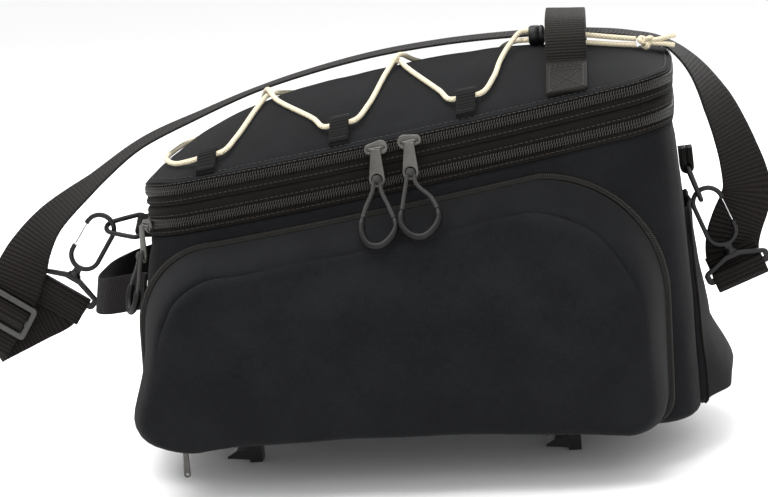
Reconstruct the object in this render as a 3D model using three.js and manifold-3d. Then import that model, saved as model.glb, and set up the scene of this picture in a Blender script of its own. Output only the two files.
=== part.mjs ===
// A soft rack bag for a bicycle: a wedge-shaped main compartment with a domed lid, two zips round its top,
// a bulging pannier pocket on each long side, a laced elastic cord, a carry handle, a clip-on shoulder strap
// and a plastic adapter below that hooks onto a luggage rack.
// Millimetres. +X runs along the bag to its high end, -Y is the near long side, +Z is up.
// The origin is the middle of the adapter's flat underside, where it sits on the rack.
import * as THREE from "three";
import { mergeVertices } from "three/addons/utils/BufferGeometryUtils.js";
import Module from "manifold-3d";

const wasm = await Module();
wasm.setup();

// Driving sizes of the fabric
const wall = 2.5; // padded polyester wall
const gap = 0.3; // clearance between pieces that touch
const webbing = 1.6; // thickness of the woven straps

// Driving sizes of the main compartment
const base = { length: 375, depth: 206, centre: 11, radius: 10 };
const rim = { length: 346, depth: 196, centre: 13, sag: 3 };
const cornerRadius = 30;
const endBow = 4; // how far each end bows out between its corners
const sideBow = 3; // the same for the long sides
const belly = 3; // and how far the walls swell half-way up
const lowEndHeight = 138.7; // of the rim above the floor, at the low end
const highEndHeight = 196.7;
const floorInset = 60; // the flat middle of the floor stays this far in from its edge

// Driving sizes of the zips round the top
const band = { height: 35.5, fold: 20, foldDepth: 1.3 };
const zip = { width: 7.4, thickness: 1.9, lower: 8.4, upper: 30.2 };

// Driving sizes of the lid
const lid = { rise: 37, acrossPower: 1.5, lowPower: 3.6, highPower: 2.2, hip: 0.8 };

// Driving sizes of the rack adapter
const rail = { length: 250, width: 56, height: 4 };
const plate = { length: 270, width: 112, thickness: 10, corner: 12 };
const rackHook = {
  spacing: 220, offset: 42, thickness: 14, drop: 14, post: 8.6, prong: 15.4, prongLift: 3.2, prongHeight: 6,
};
const baseHeight = rail.height + plate.thickness + gap; // the compartment's floor above the rack

// Driving sizes of the pannier pockets
const pocket = {
  left: -163, right: 177, topDrop: 13.5, lowCorner: 50, highCorner: 78, foot: 4, footArch: 8,
  lowFootCorner: 36, highFootCorner: 18,
  gusset: 16, topDepth: 19, bottomDepth: 43, fullness: 9,
};
const pocketZip = { width: 5.5, thickness: 1.6 };

// Driving sizes of the straps
const handle = { centre: 121, width: 27, thickness: 2.8, grip: 7, top: 279, patch: 44 };
const endHandle = { width: 25, reach: 41, span: 150, height: 100, droop: 9 };
const strap = { width: 37, end: 16, turn: 29 };

// Driving sizes of the laced elastic cord and what holds it
const cord = { diameter: 3.5, sides: 8 };
const tab = { width: 13, length: 21, edge: 1.5, places: [-118, -29, 55] };
const cordLock = { length: 11, diameter: 14, place: 101 };
const knot = { place: 175, length: 13, diameter: 11 };

// Driving sizes of the rings, snap hooks and the strap's slider
const ring = { width: 26, length: 26, wire: 3.4 };
const ringTab = { width: 16, length: 13, thickness: 2 };
const snap = {
  length: 45, halfWidth: 11.7, bar: 3.2, thickness: 4, gate: 2, stem: 5, stemWidth: 5.5, ear: 3, nose: 1, aside: 3.5,
};
const eye = { inner: 39, bar: 4, height: 16, thickness: 4.2, slot: 2.8, shoulder: 1.8 };
const glide = { length: 25, width: 46, thickness: 2.6, bar: 4 };

// Driving sizes of the zip sliders and their pulls
const slider = { length: 16, width: 9.6, height: 4.2 };
const pocketSlider = { length: 11, width: 5.2 };
const pull = { width: 10.6, length: 25, thickness: 1.8, eye: 3.2 };
const pocketPull = { width: 4.6, length: 26, thickness: 1.8, eye: 1.2 };
const loopPull = { diameter: 2.6 };

const colours = {
  shell: 0x303235, tape: 0x1d1b1a, webbing: 0x1f1c1b, cord: 0xcfc6a4, metal: 0x77756f, plastic: 0x161616,
};

const root = new THREE.Group();

// Adds one named piece, in its own material, to the bag or to a group of it.
function add(name, geometry, finish, parent = root) {
  const metal = finish === "metal";
  const material = new THREE.MeshStandardMaterial({
    color: colours[finish],
    roughness: metal ? 0.35 : 0.85,
    metalness: metal ? 0.9 : 0,
  });
  const mesh = new THREE.Mesh(geometry, material);
  mesh.name = name;
  parent.add(mesh);
  return mesh;
}

const lerp = THREE.MathUtils.lerp;
const vec = (x, y, z) => new THREE.Vector3(x, y, z);

// The faces that close a loop of points, from the loop flattened onto its own plane.
function capFaces(loop, first) {
  const normal = vec(0, 0, 0);
  loop.forEach((p, i) => normal.add(vec(0, 0, 0).crossVectors(p, loop[(i + 1) % loop.length])));
  const turn = new THREE.Quaternion().setFromUnitVectors(normal.normalize(), vec(0, 0, 1));
  const flat = loop.map((p) => p.clone().applyQuaternion(turn)).map((p) => new THREE.Vector2(p.x, p.y));
  return THREE.ShapeUtils.triangulateShape(flat, []).map((face) => face.map((i) => first + i));
}

// One closed skin through a row of closed loops that have the same number of points.
// The row's two ends are capped, unless the row itself closes into a ring. In thin cloth a loop runs out along
// one face and back along the other, and both faces are split the same way, so that a twist doesn't thin it.
function loft(loops, { ringed = false, cloth = false } = {}) {
  const n = loops[0].length;
  const points = loops.flat();
  const faces = [];
  const rows = ringed ? loops.length : loops.length - 1;
  for (let i = 0; i < rows; i++) {
    const next = (i + 1) % loops.length;
    for (let j = 0; j < n; j++) {
      const k = (j + 1) % n;
      const [a, b, c, d] = [i * n + j, i * n + k, next * n + k, next * n + j];
      faces.push(...(cloth && j >= n / 2 - 1 ? [[a, b, d], [b, c, d]] : [[a, b, c], [a, c, d]]));
    }
  }
  if (!ringed) {
    const last = loops.length - 1;
    faces.push(...capFaces(loops[0], 0).map(([a, b, c]) => [a, c, b]));
    faces.push(...capFaces(loops[last], last * n));
  }
  let volume = 0;
  for (const [a, b, c] of faces) volume += points[a].dot(vec(0, 0, 0).crossVectors(points[b], points[c]));
  const geometry = new THREE.BufferGeometry().setFromPoints(points);
  geometry.setIndex((volume < 0 ? faces.map(([a, b, c]) => [a, c, b]) : faces).flat());
  return geometry;
}

// The heights of the wedge. Where the rim's line runs at x, above the floor and above the rack.
function rimHeight(x) {
  const t = (x - rim.centre) / rim.length + 0.5;
  return lerp(lowEndHeight, highEndHeight, t) - 4 * rim.sag * t * (1 - t);
}
const rimTop = (x) => baseHeight + rimHeight(x);

// A rounded rectangle seen from above whose four sides bow outwards, anticlockwise from its +X side.
function planLoop(centre, halfLength, halfDepth, radius, bowScale = 1) {
  const cornerSteps = 4;
  const turns = [[1, 1], [-1, 1], [-1, -1], [1, -1]];
  const sideSteps = [6, 4]; // along the long sides and along the ends
  const r = Math.min(radius, halfDepth * 0.98);
  const corners = turns.map(([sx, sy], quarter) => {
    const arc = [];
    for (let i = 0; i <= cornerSteps; i++) {
      const angle = (quarter + i / cornerSteps) * (Math.PI / 2);
      arc.push([sx * (halfLength - r) + r * Math.cos(angle), sy * (halfDepth - r) + r * Math.sin(angle)]);
    }
    return arc;
  });
  const outline = [];
  corners.forEach((arc, quarter) => {
    outline.push(...arc);
    const from = arc[cornerSteps];
    const to = corners[(quarter + 1) % 4][0];
    const steps = sideSteps[quarter % 2];
    for (let i = 1; i < steps; i++) {
      outline.push([lerp(from[0], to[0], i / steps), lerp(from[1], to[1], i / steps)]);
    }
  });
  return outline.map(([x, y]) => [
    centre + x + Math.sign(x) * bowScale * endBow * (1 - (y / halfDepth) ** 2),
    y + Math.sign(y) * bowScale * sideBow * (1 - (x / halfLength) ** 2),
  ]);
}

// The main compartment's plan at a share of its height, taken in by inset.
function bodyPlan(share, inset = 0) {
  const swell = belly * Math.sin(Math.PI * share);
  return {
    centre: lerp(base.centre, rim.centre, share),
    halfLength: lerp(base.length, rim.length, share) / 2 + swell / 2 - inset,
    halfDepth: lerp(base.depth, rim.depth, share) / 2 + swell - inset,
    radius: Math.max(cornerRadius - inset, 4),
  };
}

function bodyLoop(share, inset = 0, lift = 0) {
  const p = bodyPlan(share, inset);
  return planLoop(p.centre, p.halfLength, p.halfDepth, p.radius).map(([x, y]) =>
    vec(x, y, baseHeight + lift + share * (rimHeight(x) - lift)));
}

// How far out a long side's face lies at (x, z), as a distance from the bag's middle plane.
function sideFace(x, z) {
  const p = bodyPlan(Math.max(0, (z - baseHeight) / rimHeight(x)));
  return p.halfDepth + sideBow * (1 - ((x - p.centre) / p.halfLength) ** 2);
}

// The same for an end's face at (y, z): side is 1 at the high end and -1 at the low end.
function endFace(side, y, z) {
  const x = rim.centre + (side * rim.length) / 2;
  const p = bodyPlan(Math.max(0, (z - baseHeight) / rimHeight(x)));
  return p.centre + side * (p.halfLength + endBow * (1 - (y / p.halfDepth) ** 2));
}

// The main compartment: an open-topped tub with a rounded bottom edge.
function mainCompartment() {
  const r = base.radius;
  const outside = [
    bodyLoop(0, floorInset), bodyLoop(0, r), bodyLoop(0, r * 0.3, r * 0.3),
    bodyLoop(0.08), bodyLoop(0.3), bodyLoop(0.55), bodyLoop(0.8), bodyLoop(1),
  ];
  const inside = [
    bodyLoop(1, wall), bodyLoop(0.55, wall), bodyLoop(0.08, wall),
    bodyLoop(0, r + wall, wall), bodyLoop(0, floorInset, wall),
  ];
  return loft([...outside, ...inside]);
}

// A ring that follows the top of the bag: its section is a closed list of [outward, upward] from the rim's line.
function rimRing(section) {
  const p = bodyPlan(1);
  const loops = section.map(([outward, upward]) =>
    planLoop(p.centre, p.halfLength + outward, p.halfDepth + outward, cornerRadius + outward)
      .map(([x, y]) => vec(x, y, rimTop(x) + upward)));
  return loft(loops, { ringed: true });
}

// The fabric gusset between compartment and lid, folded along its middle, and the two zip chains on it.
function zipBand() {
  const { height, fold, foldDepth } = band;
  return rimRing([
    [0, gap], [0, fold - foldDepth], [-foldDepth, fold], [0, fold + foldDepth], [0, height - gap],
    [-wall, height - gap], [-wall, gap],
  ]);
}

function zipChain(centre) {
  const half = zip.width / 2;
  return rimRing([
    [gap, centre - half], [zip.thickness, centre - half * 0.7], [zip.thickness, centre + half * 0.7],
    [gap, centre + half],
  ]);
}

// The lid's top surface above the rack at (x, y).
function lidTop(x, y) {
  const place = (x - rim.centre) / (rim.length / 2);
  const halfDepth = rim.depth / 2 + sideBow * Math.max(0, 1 - place ** 2);
  const along = Math.min(1, Math.abs(x - rim.centre) / (rim.length / 2 + endBow));
  const across = Math.min(1, Math.abs(y) / halfDepth);
  const power = place < 0 ? lid.lowPower : lid.highPower;
  const crown = (1 - across ** lid.acrossPower) * (1 - along ** power);
  return rimTop(x) + band.height + lid.rise * crown;
}

// The domed lid: nested loops that close in on its long ridge, outside and then back down inside.
function lidPanel() {
  const loopAt = (share, inset, drop) => {
    const halfDepth = (rim.depth / 2) * share - inset;
    const halfLength = rim.length / 2 - lid.hip * (rim.depth / 2) * (1 - share) - inset;
    return planLoop(rim.centre, halfLength, halfDepth, cornerRadius - inset, share ** 2).map(([x, y]) =>
      vec(x, y, lidTop(x, y) - drop));
  };
  const shares = [1, 0.94, 0.83, 0.67, 0.48, 0.28, 0.08];
  const outside = shares.map((s) => loopAt(s, 0, 0));
  const seat = loopAt(1, wall, 0).map(({ x, y }) => vec(x, y, rimTop(x) + band.height));
  const inside = [0.83, 0.48, 0.2].map((s) => loopAt(s, wall, wall));
  return loft([...outside.reverse(), seat, ...inside]);
}

// A flat strip of webbing. Each station has its middle, the direction across the strip, and may have
// a thickness of its own. The direction that the strip faces comes from the line through the middles.
function ribbon(stations, width, thickness, steps) {
  const middle = new THREE.CatmullRomCurve3(stations.map((s) => s.at), false, "centripetal");
  const loops = [];
  for (let i = 0; i <= steps; i++) {
    const u = (i / steps) * (stations.length - 1);
    const k = Math.min(stations.length - 2, Math.floor(u));
    const t = i / steps;
    const along = middle.getTangent(t);
    const across = stations[k].across.clone().lerp(stations[k + 1].across, u - k);
    across.addScaledVector(along, -across.dot(along)).normalize();
    const face = vec(0, 0, 0).crossVectors(along, across);
    const half = lerp(stations[k].thick ?? thickness, stations[k + 1].thick ?? thickness, u - k) / 2;
    const corners = [[-1, -1], [1, -1], [1, 1], [-1, 1]];
    loops.push(corners.map(([a, b]) => middle.getPoint(t)
      .addScaledVector(across, (a * width) / 2).addScaledVector(face, b * half)));
  }
  return loft(loops, { cloth: true });
}

// A solid and a geometry, each made from the other, for the few pieces that are cut.
function solid(geometry) {
  const bare = geometry.index ? geometry.toNonIndexed() : geometry.clone();
  bare.deleteAttribute("normal");
  bare.deleteAttribute("uv");
  const merged = mergeVertices(bare, 1e-4);
  return new wasm.Manifold(new wasm.Mesh({
    numProp: 3,
    vertProperties: merged.attributes.position.array,
    triVerts: new Uint32Array(merged.index.array),
  }));
}

function geometryOf(manifold) {
  const mesh = manifold.getMesh();
  const geometry = new THREE.BufferGeometry();
  geometry.setAttribute("position", new THREE.BufferAttribute(new Float32Array(mesh.vertProperties), 3));
  geometry.setIndex(new THREE.BufferAttribute(mesh.triVerts, 1));
  return geometry;
}

function box(x, y, z, centre = [0, 0, 0]) {
  return new THREE.BoxGeometry(x, y, z).translate(...centre);
}

// A flat plate with an outline, and with holes, extruded along Z about its own middle.
function slab(shape, thickness, holes = [], curveSegments = 4) {
  shape.holes.push(...holes);
  const settings = { depth: thickness, bevelEnabled: false, curveSegments };
  return new THREE.ExtrudeGeometry(shape, settings).translate(0, 0, -thickness / 2);
}

function roundedRectangle(length, width, radius, kind = THREE.Shape) {
  const [x, y] = [length / 2, width / 2];
  const shape = new kind();
  shape.moveTo(x, -y + radius);
  shape.lineTo(x, y - radius);
  shape.absarc(x - radius, y - radius, radius, 0, Math.PI / 2);
  shape.lineTo(-x + radius, y);
  shape.absarc(-x + radius, y - radius, radius, Math.PI / 2, Math.PI);
  shape.lineTo(-x, -y + radius);
  shape.absarc(-x + radius, -y + radius, radius, Math.PI, 1.5 * Math.PI);
  shape.lineTo(x - radius, -y);
  shape.absarc(x - radius, -y + radius, radius, 1.5 * Math.PI, 2 * Math.PI);
  return shape;
}

// The pannier pocket's outline on the bag's side, seen along +Y: up the low end, along the sloping top,
// down the high end and back along the bottom. inset takes it in.
function pocketOutline(inset) {
  const left = pocket.left + inset;
  const right = pocket.right - inset;
  const middle = (left + right) / 2;
  const floor = (x) => baseHeight + pocket.foot + Math.min(inset, inset * 0.3)
    + pocket.footArch * (1 - ((x - middle) / (right - middle)) ** 2);
  const [lowFoot, highFoot] = [pocket.lowFootCorner - inset / 2, pocket.highFootCorner - inset / 4];
  const top = (x) => rimTop(x) - pocket.topDrop - inset;
  const lowCorner = pocket.lowCorner - inset / 2;
  const highCorner = pocket.highCorner - inset / 2;
  const arc = (cx, cz, radius, start, steps) => {
    const points = [];
    for (let i = 0; i <= steps; i++) {
      const angle = start - (i / steps) * (Math.PI / 2);
      points.push([cx + radius * Math.cos(angle), cz + radius * Math.sin(angle)]);
    }
    return points;
  };
  const line = (x0, x1, zAt, steps) => {
    const points = [];
    for (let i = 1; i < steps; i++) points.push([lerp(x0, x1, i / steps), zAt(lerp(x0, x1, i / steps))]);
    return points;
  };
  const lowX = left + lowCorner;
  const highX = right - highCorner;
  const upright = (x, z0, z1) => [1, 2].map((i) => [x, lerp(z0, z1, i / 3)]);
  const lowFloor = floor(left + lowFoot);
  const highFloor = floor(right - highFoot);
  return [
    ...upright(left, lowFloor + lowFoot, top(lowX) - lowCorner),
    ...arc(lowX, top(lowX) - lowCorner, lowCorner, Math.PI, 5),
    ...line(lowX, highX, top, 6),
    ...arc(highX, top(highX) - highCorner, highCorner, Math.PI / 2, 5),
    ...upright(right, top(highX) - highCorner, highFloor + highFoot),
    ...arc(right - highFoot, highFloor + highFoot, highFoot, 0, 3),
    ...line(right - highFoot, left + lowFoot, floor, 6),
    ...arc(left + lowFoot, lowFloor + lowFoot, lowFoot, -Math.PI / 2, 4),
  ];
}

// How far the pocket stands out from the bag's side at (x, z): less at its top, more at its foot.
function pocketDepth(z) {
  const share = THREE.MathUtils.clamp((z - baseHeight) / (rimHeight(rim.centre) - pocket.topDrop), 0, 1);
  return lerp(pocket.bottomDepth, pocket.topDepth, share ** 1.3) + pocket.fullness * Math.sin(Math.PI * share);
}

// A pannier pocket: a hollow shell that is open towards the bag. side is -1 for the near one.
function sidePocket(side) {
  const loopAt = (inset, proud, back) => pocketOutline(inset).map(([x, z]) => {
    const out = proud * pocketDepth(z) - back;
    return vec(x, side * (sideFace(x, z) + gap + Math.max(0, out)), z);
  });
  const outside = [[0, 0], [1, 0.45], [pocket.gusset * 0.55, 0.86], [pocket.gusset, 1], [42, 1.05], [64, 1.08]];
  const inside = [[64, 1.08], [pocket.gusset + wall, 1], [wall + 1, 0.45], [wall, 0]];
  const loops = [
    ...outside.map(([inset, proud]) => loopAt(inset, proud, 0)).reverse(),
    ...inside.map(([inset, proud]) => loopAt(inset, proud, proud ? wall : 0)).reverse(),
  ];
  return loft(loops);
}

// The zip chain that follows the pocket's outline over the top, just outside it, on the bag's side.
function pocketZipChain(side) {
  const outline = pocketOutline(-(pocketZip.width / 2 + gap));
  const path = [...outline.slice(-4), ...outline.slice(0, 22)];
  const loops = path.map(([x, z], i) => {
    const [before, after] = [path[Math.max(0, i - 1)], path[Math.min(path.length - 1, i + 1)]];
    const along = new THREE.Vector2(after[0] - before[0], after[1] - before[1]).normalize();
    const corner = (across, out) => {
      const px = x - along.y * across;
      const pz = z + along.x * across;
      return vec(px, side * (sideFace(px, pz) + gap + out), pz);
    };
    const half = pocketZip.width / 2 - gap;
    return [corner(-half, 0), corner(half, 0), corner(half * 0.7, pocketZip.thickness),
      corner(-half * 0.7, pocketZip.thickness)];
  });
  return loft(loops);
}

// The pouch on the high end: it hangs from below the ring and flares towards its foot.
// The rows of the table are its levels, as shares of its height, of its width and of its reach.
const endPouch = { height: 128, foot: 6, halfWidth: 74, reach: 27 };
const pouchLevels = [
  { up: 0, width: 0.94, reach: 0.1 }, { up: 0.03, width: 1, reach: 0.72 }, { up: 0.1, width: 1, reach: 0.8 },
  { up: 0.4, width: 0.94, reach: 0.28 }, { up: 0.7, width: 0.82, reach: 0.12 }, { up: 0.93, width: 0.62, reach: 0.08 },
  { up: 1, width: 0.5, reach: 0.06 },
];

function endPouchShell() {
  const across = [-1, -0.8, -0.5, -0.2, 0.2, 0.5, 0.8, 1];
  const point = (level, share, inset) => {
    const lift = level.up ? 0 : inset * 0.8; // the foot's cloth is as thick as the rest
    const z = baseHeight + endPouch.foot + level.up * endPouch.height + lift;
    const y = share * (endPouch.halfWidth * level.width - inset);
    const bulge = endPouch.reach * level.reach * (1 - Math.abs(share) ** 2.4);
    return vec(endFace(1, y, z) + gap + Math.max(0, bulge + (Math.abs(share) < 1 ? wall : 0) - inset), y, z);
  };
  // Each level is a bent strip of cloth: out along its face and back along its inside.
  const loops = pouchLevels.map((level) => [
    ...across.map((share) => point(level, share, 0)),
    ...across.map((share) => point(level, share, wall)).reverse(),
  ]);
  return loft(loops, { cloth: true });
}

// The place across the lid, and the height above its surface, of the cord's middle in its tabs.
const tabInner = cord.diameter / 2 + 5 * gap;
const tabSeat = rim.depth / 2 - tab.length + webbing + tabInner;
const tabCordLift = gap + webbing + tabInner;

// A folded webbing tab that holds the laced cord: two layers from the lid's edge, with the cord in their fold.
function cordTab(x, side) {
  const edge = rim.depth / 2 - tab.edge;
  const turns = [0, 0.25, 0.5, 0.75, 1, 1.3];
  const fold = (radius) => turns.map((t) => [
    tabSeat - radius * Math.sin(Math.PI * t), tabCordLift - radius * Math.cos(Math.PI * t)]);
  const half = (edge + tabSeat) / 2;
  const outside = [[edge, gap], [half, gap], ...fold(tabInner + webbing), [half, gap + 2.6 * webbing],
    [edge, 2 * gap + 2 * webbing]];
  const inside = [[edge, 2 * gap + webbing], [half, gap + 1.4 * webbing], ...fold(tabInner).reverse(),
    [half, gap + webbing], [edge, gap + webbing]];
  const loops = [-0.5, 0.5].map((share) => [...outside, ...inside].map(([place, height]) => {
    const px = x + share * tab.width;
    return vec(px, side * place, lidTop(px, place) + height);
  }));
  return loft(loops);
}

// The carry handle: sewn flat to both long edges of the lid, standing up as a loop over its ridge.
// The legs' rows are shares of the way in to the middle, and of the rise from the lid to the handle's top.
function carryHandle() {
  const x = handle.centre;
  const lift = gap + handle.thickness / 2 + 1;
  const edge = rim.depth / 2 - 2;
  const footEnd = edge - handle.patch;
  const onLid = [edge, edge - handle.patch / 2, footEnd].map((y) => [y, lidTop(x, y) + lift]);
  const foot = onLid[2][1];
  const leg = [[0.97, 0.28], [0.9, 0.62], [0.7, 0.9], [0.36, 0.99]].map(([y, z]) => [
    footEnd * y, lerp(foot, handle.top, z)]);
  const near = [...onLid, ...leg].map(([y, z]) => [-y, z]);
  const path = [...near, [0, handle.top], ...near.map(([y, z]) => [-y, z]).reverse()];
  const middle = near.length;
  const stations = path.map(([y, z], i) => ({
    at: vec(x, y, z),
    across: vec(2, 0, lidTop(x + 1, y) - lidTop(x - 1, y)).normalize(),
    thick: lerp(handle.thickness, handle.grip, Math.max(0, 1 - Math.abs(i - middle) / 4)),
  }));
  return ribbon(stations, handle.width, handle.thickness, 28);
}

// The loop of webbing across the low end, sewn at both corners.
function endHandleLoop() {
  const z = baseHeight + endHandle.height;
  const half = endHandle.span / 2;
  const face = (y) => endFace(-1, y, z) - gap - webbing / 2;
  const slope = vec(endFace(-1, half, z + 1) - endFace(-1, half, z - 1), 0, 2).normalize();
  const rows = [[1, 0], [0.93, 0.012], [0.82, 0.28], [0.68, 0.72], [0.45, 0.95], [0, 1]];
  const at = (y, out) => vec(face(y) - endHandle.reach * out, y, z - endHandle.droop * out);
  const near = rows.map(([y, out]) => at(-half * y, out));
  const far = rows.slice(0, -1).map(([y, out]) => at(half * y, out));
  const stations = [...near, ...far.reverse()].map((middle) => ({ at: middle, across: slope }));
  return ribbon(stations, endHandle.width, webbing, 26);
}

// A round section for cords, and a cord along hand-chosen points.
function cordAlong(points, diameter, steps) {
  const section = new THREE.Shape();
  for (let i = 0; i < cord.sides; i++) {
    const angle = (i / cord.sides) * 2 * Math.PI;
    const place = [(diameter / 2) * Math.cos(angle), (diameter / 2) * Math.sin(angle)];
    if (i) section.lineTo(...place);
    else section.moveTo(...place);
  }
  section.closePath();
  const path = new THREE.CatmullRomCurve3(points, false, "centripetal");
  return new THREE.ExtrudeGeometry(section, { steps, extrudePath: path, bevelEnabled: false });
}

// The laced cord's two halves. The rows are places along and across the bag, and the height of the cord's
// middle above the lid, up to the cord lock; past it the two run level to the knot and end in short tails.
const touch = cord.diameter / 2 + gap;
const over = touch + cord.diameter + gap;
const place = tabSeat;
const inTab = tabCordLift;
const [first, second, third] = tab.places;
const firstHalf = [
  [first - 43, 0.2 * place, touch + 1.4], [first - 36, -0.44 * place, touch + 1], [first - 22, -0.88 * place, touch + 1],
  [first - 10, -place, inTab], [first, -place, inTab], [first + 10, -place, inTab],
  [first + 17, -0.76 * place, touch + 0.6], [-91, -0.3 * place, touch + 0.6], [-86, 0, touch + 0.6],
  [-78, 0.3 * place, touch + 0.6], [second - 19, 0.8 * place, touch + 0.8],
  [second - 10, place, inTab], [second, place, inTab], [second + 10, place, inTab],
  [second + 18, 0.78 * place, touch + 0.8], [0, 0.3 * place, touch + 0.6], [6, 0, touch + 0.6],
  [14, -0.3 * place, touch + 0.6], [third - 18, -0.8 * place, touch + 0.8],
  [third - 10, -place, inTab], [third, -place, inTab], [third + 10, -place, inTab],
  [third + 18, -0.74 * place, touch + 1], [77, -0.46 * place, touch + 1], [84, -0.18 * place, touch + 4],
];
const secondHalf = [
  [first - 43, 0.24 * place, touch + 1.4], [first - 36, 0.6 * place, touch + 1], [first - 22, 0.94 * place, touch + 1],
  [first - 10, place, inTab], [first, place, inTab], [first + 10, place, inTab],
  [first + 17, 0.76 * place, touch + 0.6], [-93, 0.28 * place, touch + 0.8], [-86, 0, over + 0.9],
  [-77, -0.28 * place, touch + 0.8], [second - 19, -0.8 * place, touch + 0.8],
  [second - 10, -place, inTab], [second, -place, inTab], [second + 10, -place, inTab],
  [second + 18, -0.78 * place, touch + 0.8], [-1, -0.26 * place, touch + 0.8], [6, 0, over + 0.9],
  [15, 0.28 * place, touch + 0.8], [third - 18, 0.8 * place, touch + 0.8],
  [third - 10, place, inTab], [third, place, inTab], [third + 10, place, inTab],
  [third + 18, 0.76 * place, touch + 1], [75, 0.44 * place, touch + 0.8], [84, 0.12 * place, touch + 0.8],
];
const lockY = -5;
const strandSpread = 6;
function strandPoints(rows, upper) {
  const lift = upper ? strandSpread / 2 : -strandSpread / 2;
  const lockZ = lockHeight();
  const lock = cordLock.place;
  return [
    ...rows.map(([x, y, height]) => vec(x, y, lidTop(x, y) + height)),
    vec(lock - 10, lockY, lockZ + lift), vec(lock, lockY, lockZ + lift), vec(lock + 10, lockY, lockZ + lift),
    vec(lock + 26, lockY, lockZ + lift * 0.9 - 3), vec(lock + 48, lockY, lockZ + lift * 0.8 - 6),
    vec(knot.place - knot.length / 2 - gap, lockY, knotHeight() + lift * 0.7),
  ];
}
function lockHeight() {
  return lidTop(cordLock.place, lockY) + gap + cordLock.diameter / 2;
}
function knotHeight() {
  return lidTop(knot.place - knot.length / 2, lockY) + gap + knot.diameter / 2;
}

// The barrel-shaped cord lock, with its two bores, and the knot.
function cordLockBody() {
  const { length, diameter } = cordLock;
  const profile = [[0, -0.5], [0.36, -0.5], [0.5, -0.36], [0.5, 0.36], [0.36, 0.5], [0, 0.5]];
  const barrel = new THREE.LatheGeometry(
    profile.map(([r, h]) => new THREE.Vector2(r * diameter, h * length)), 16).rotateZ(Math.PI / 2);
  const bore = new THREE.CylinderGeometry(touch + gap, touch + gap, length + 2, 12).rotateZ(Math.PI / 2);
  const bores = [-1, 1].map((side) => solid(bore.clone().translate(0, 0, (side * strandSpread) / 2)));
  return geometryOf(solid(barrel).subtract(bores[0]).subtract(bores[1]));
}

function knotBody() {
  const { length, diameter } = knot;
  const profile = [[0, -0.5], [0.3, -0.44], [0.5, -0.16], [0.46, 0.14], [0.34, 0.42], [0, 0.5]];
  return new THREE.LatheGeometry(
    profile.map(([r, h]) => new THREE.Vector2(r * diameter, h * length)), 12).rotateZ(Math.PI / 2);
}

// A flat triangular ring with round corners: its apex at the local origin, its straight side towards +X.
function ringBody() {
  const outline = (grow, kind) => {
    const shape = new kind();
    const [length, half] = [ring.length, ring.width / 2];
    const apex = 7.2;
    const corner = 4;
    shape.absarc(apex, 0, apex + grow, Math.PI / 2 + 0.35, 1.5 * Math.PI - 0.35);
    shape.absarc(length - corner, -half + corner, corner + grow, 1.5 * Math.PI - 0.35, 2 * Math.PI);
    shape.absarc(length - corner, half - corner, corner + grow, 0, Math.PI / 2 + 0.35);
    shape.closePath();
    return shape;
  };
  return slab(outline(ring.wire / 2, THREE.Shape), ring.wire, [outline(-ring.wire / 2, THREE.Path)], 3);
}

// The webbing tab round a ring's straight side, sewn to the bag. Its hollow fits the ring's bar.
function ringTabBody() {
  const { width, length, thickness } = ringTab;
  const hollow = ring.wire * 0.75 + gap;
  const round = hollow + thickness;
  const shape = new THREE.Shape();
  shape.moveTo(length, -round);
  shape.lineTo(0, -round);
  shape.absarc(0, 0, round, 1.5 * Math.PI, Math.PI / 2, true);
  shape.lineTo(length, round);
  const hole = new THREE.Path();
  hole.absarc(0, 0, hollow, 0, 2 * Math.PI);
  return slab(shape, width, [hole], 5).rotateX(Math.PI / 2);
}

// A snap hook's frame in its own plane, its arch round the local origin and its stem downwards.
function snapHookBody() {
  const { length, halfWidth: outer, bar, thickness, stem, stemWidth, ear, nose } = snap;
  const inner = outer - bar;
  const low = -(length - 2 * outer);
  const shape = new THREE.Shape();
  shape.moveTo(outer, -nose);
  shape.absarc(0, 0, outer, 0, Math.PI);
  shape.absarc(0, low, outer, Math.PI, 1.5 * Math.PI - Math.asin(stemWidth / 2 / outer));
  shape.lineTo(-stemWidth / 2, low - outer - stem);
  shape.lineTo(stemWidth / 2, low - outer - stem);
  shape.absarc(0, low, outer, 1.5 * Math.PI + Math.asin(stemWidth / 2 / outer), 2 * Math.PI);
  shape.lineTo(outer, low + ear);
  shape.lineTo(inner, low + ear);
  shape.absarc(0, low, inner, 0, Math.PI, true);
  shape.absarc(0, 0, inner, Math.PI, 0, true);
  shape.lineTo(inner, -nose);
  return slab(shape, thickness, [], 4);
}

// The spring gate that closes the hook's mouth, from its pivot at the local origin upwards.
const gateLength = snap.length - 2 * snap.halfWidth - snap.ear - snap.nose - 3 * gap;
function snapGateBody() {
  return box(snap.gate, gateLength, snap.thickness - 1, [0, gateLength / 2, 0]);
}

// The swivel eye under the hook's stem: a flat frame round the bar that the strap runs on.
function swivelEyeBody() {
  const { inner, bar, height, thickness, slot, shoulder } = eye;
  const half = inner / 2;
  const neck = 5;
  const floor = -height + bar + gap;
  const shape = new THREE.Shape();
  shape.absarc(-half, -height + bar, bar, Math.PI, 1.5 * Math.PI);
  shape.absarc(half, -height + bar, bar, 1.5 * Math.PI, 2 * Math.PI);
  shape.lineTo(half + bar, floor + slot + shoulder);
  shape.lineTo(neck, 0);
  shape.lineTo(-neck, 0);
  shape.lineTo(-half - bar, floor + slot + shoulder);
  const hole = new THREE.Path();
  hole.moveTo(-half, floor);
  hole.lineTo(half, floor);
  hole.lineTo(half, floor + slot);
  hole.lineTo(neck, -bar);
  hole.lineTo(-neck, -bar);
  hole.lineTo(-half, floor + slot);
  return slab(shape, thickness, [hole], 3);
}

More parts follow.
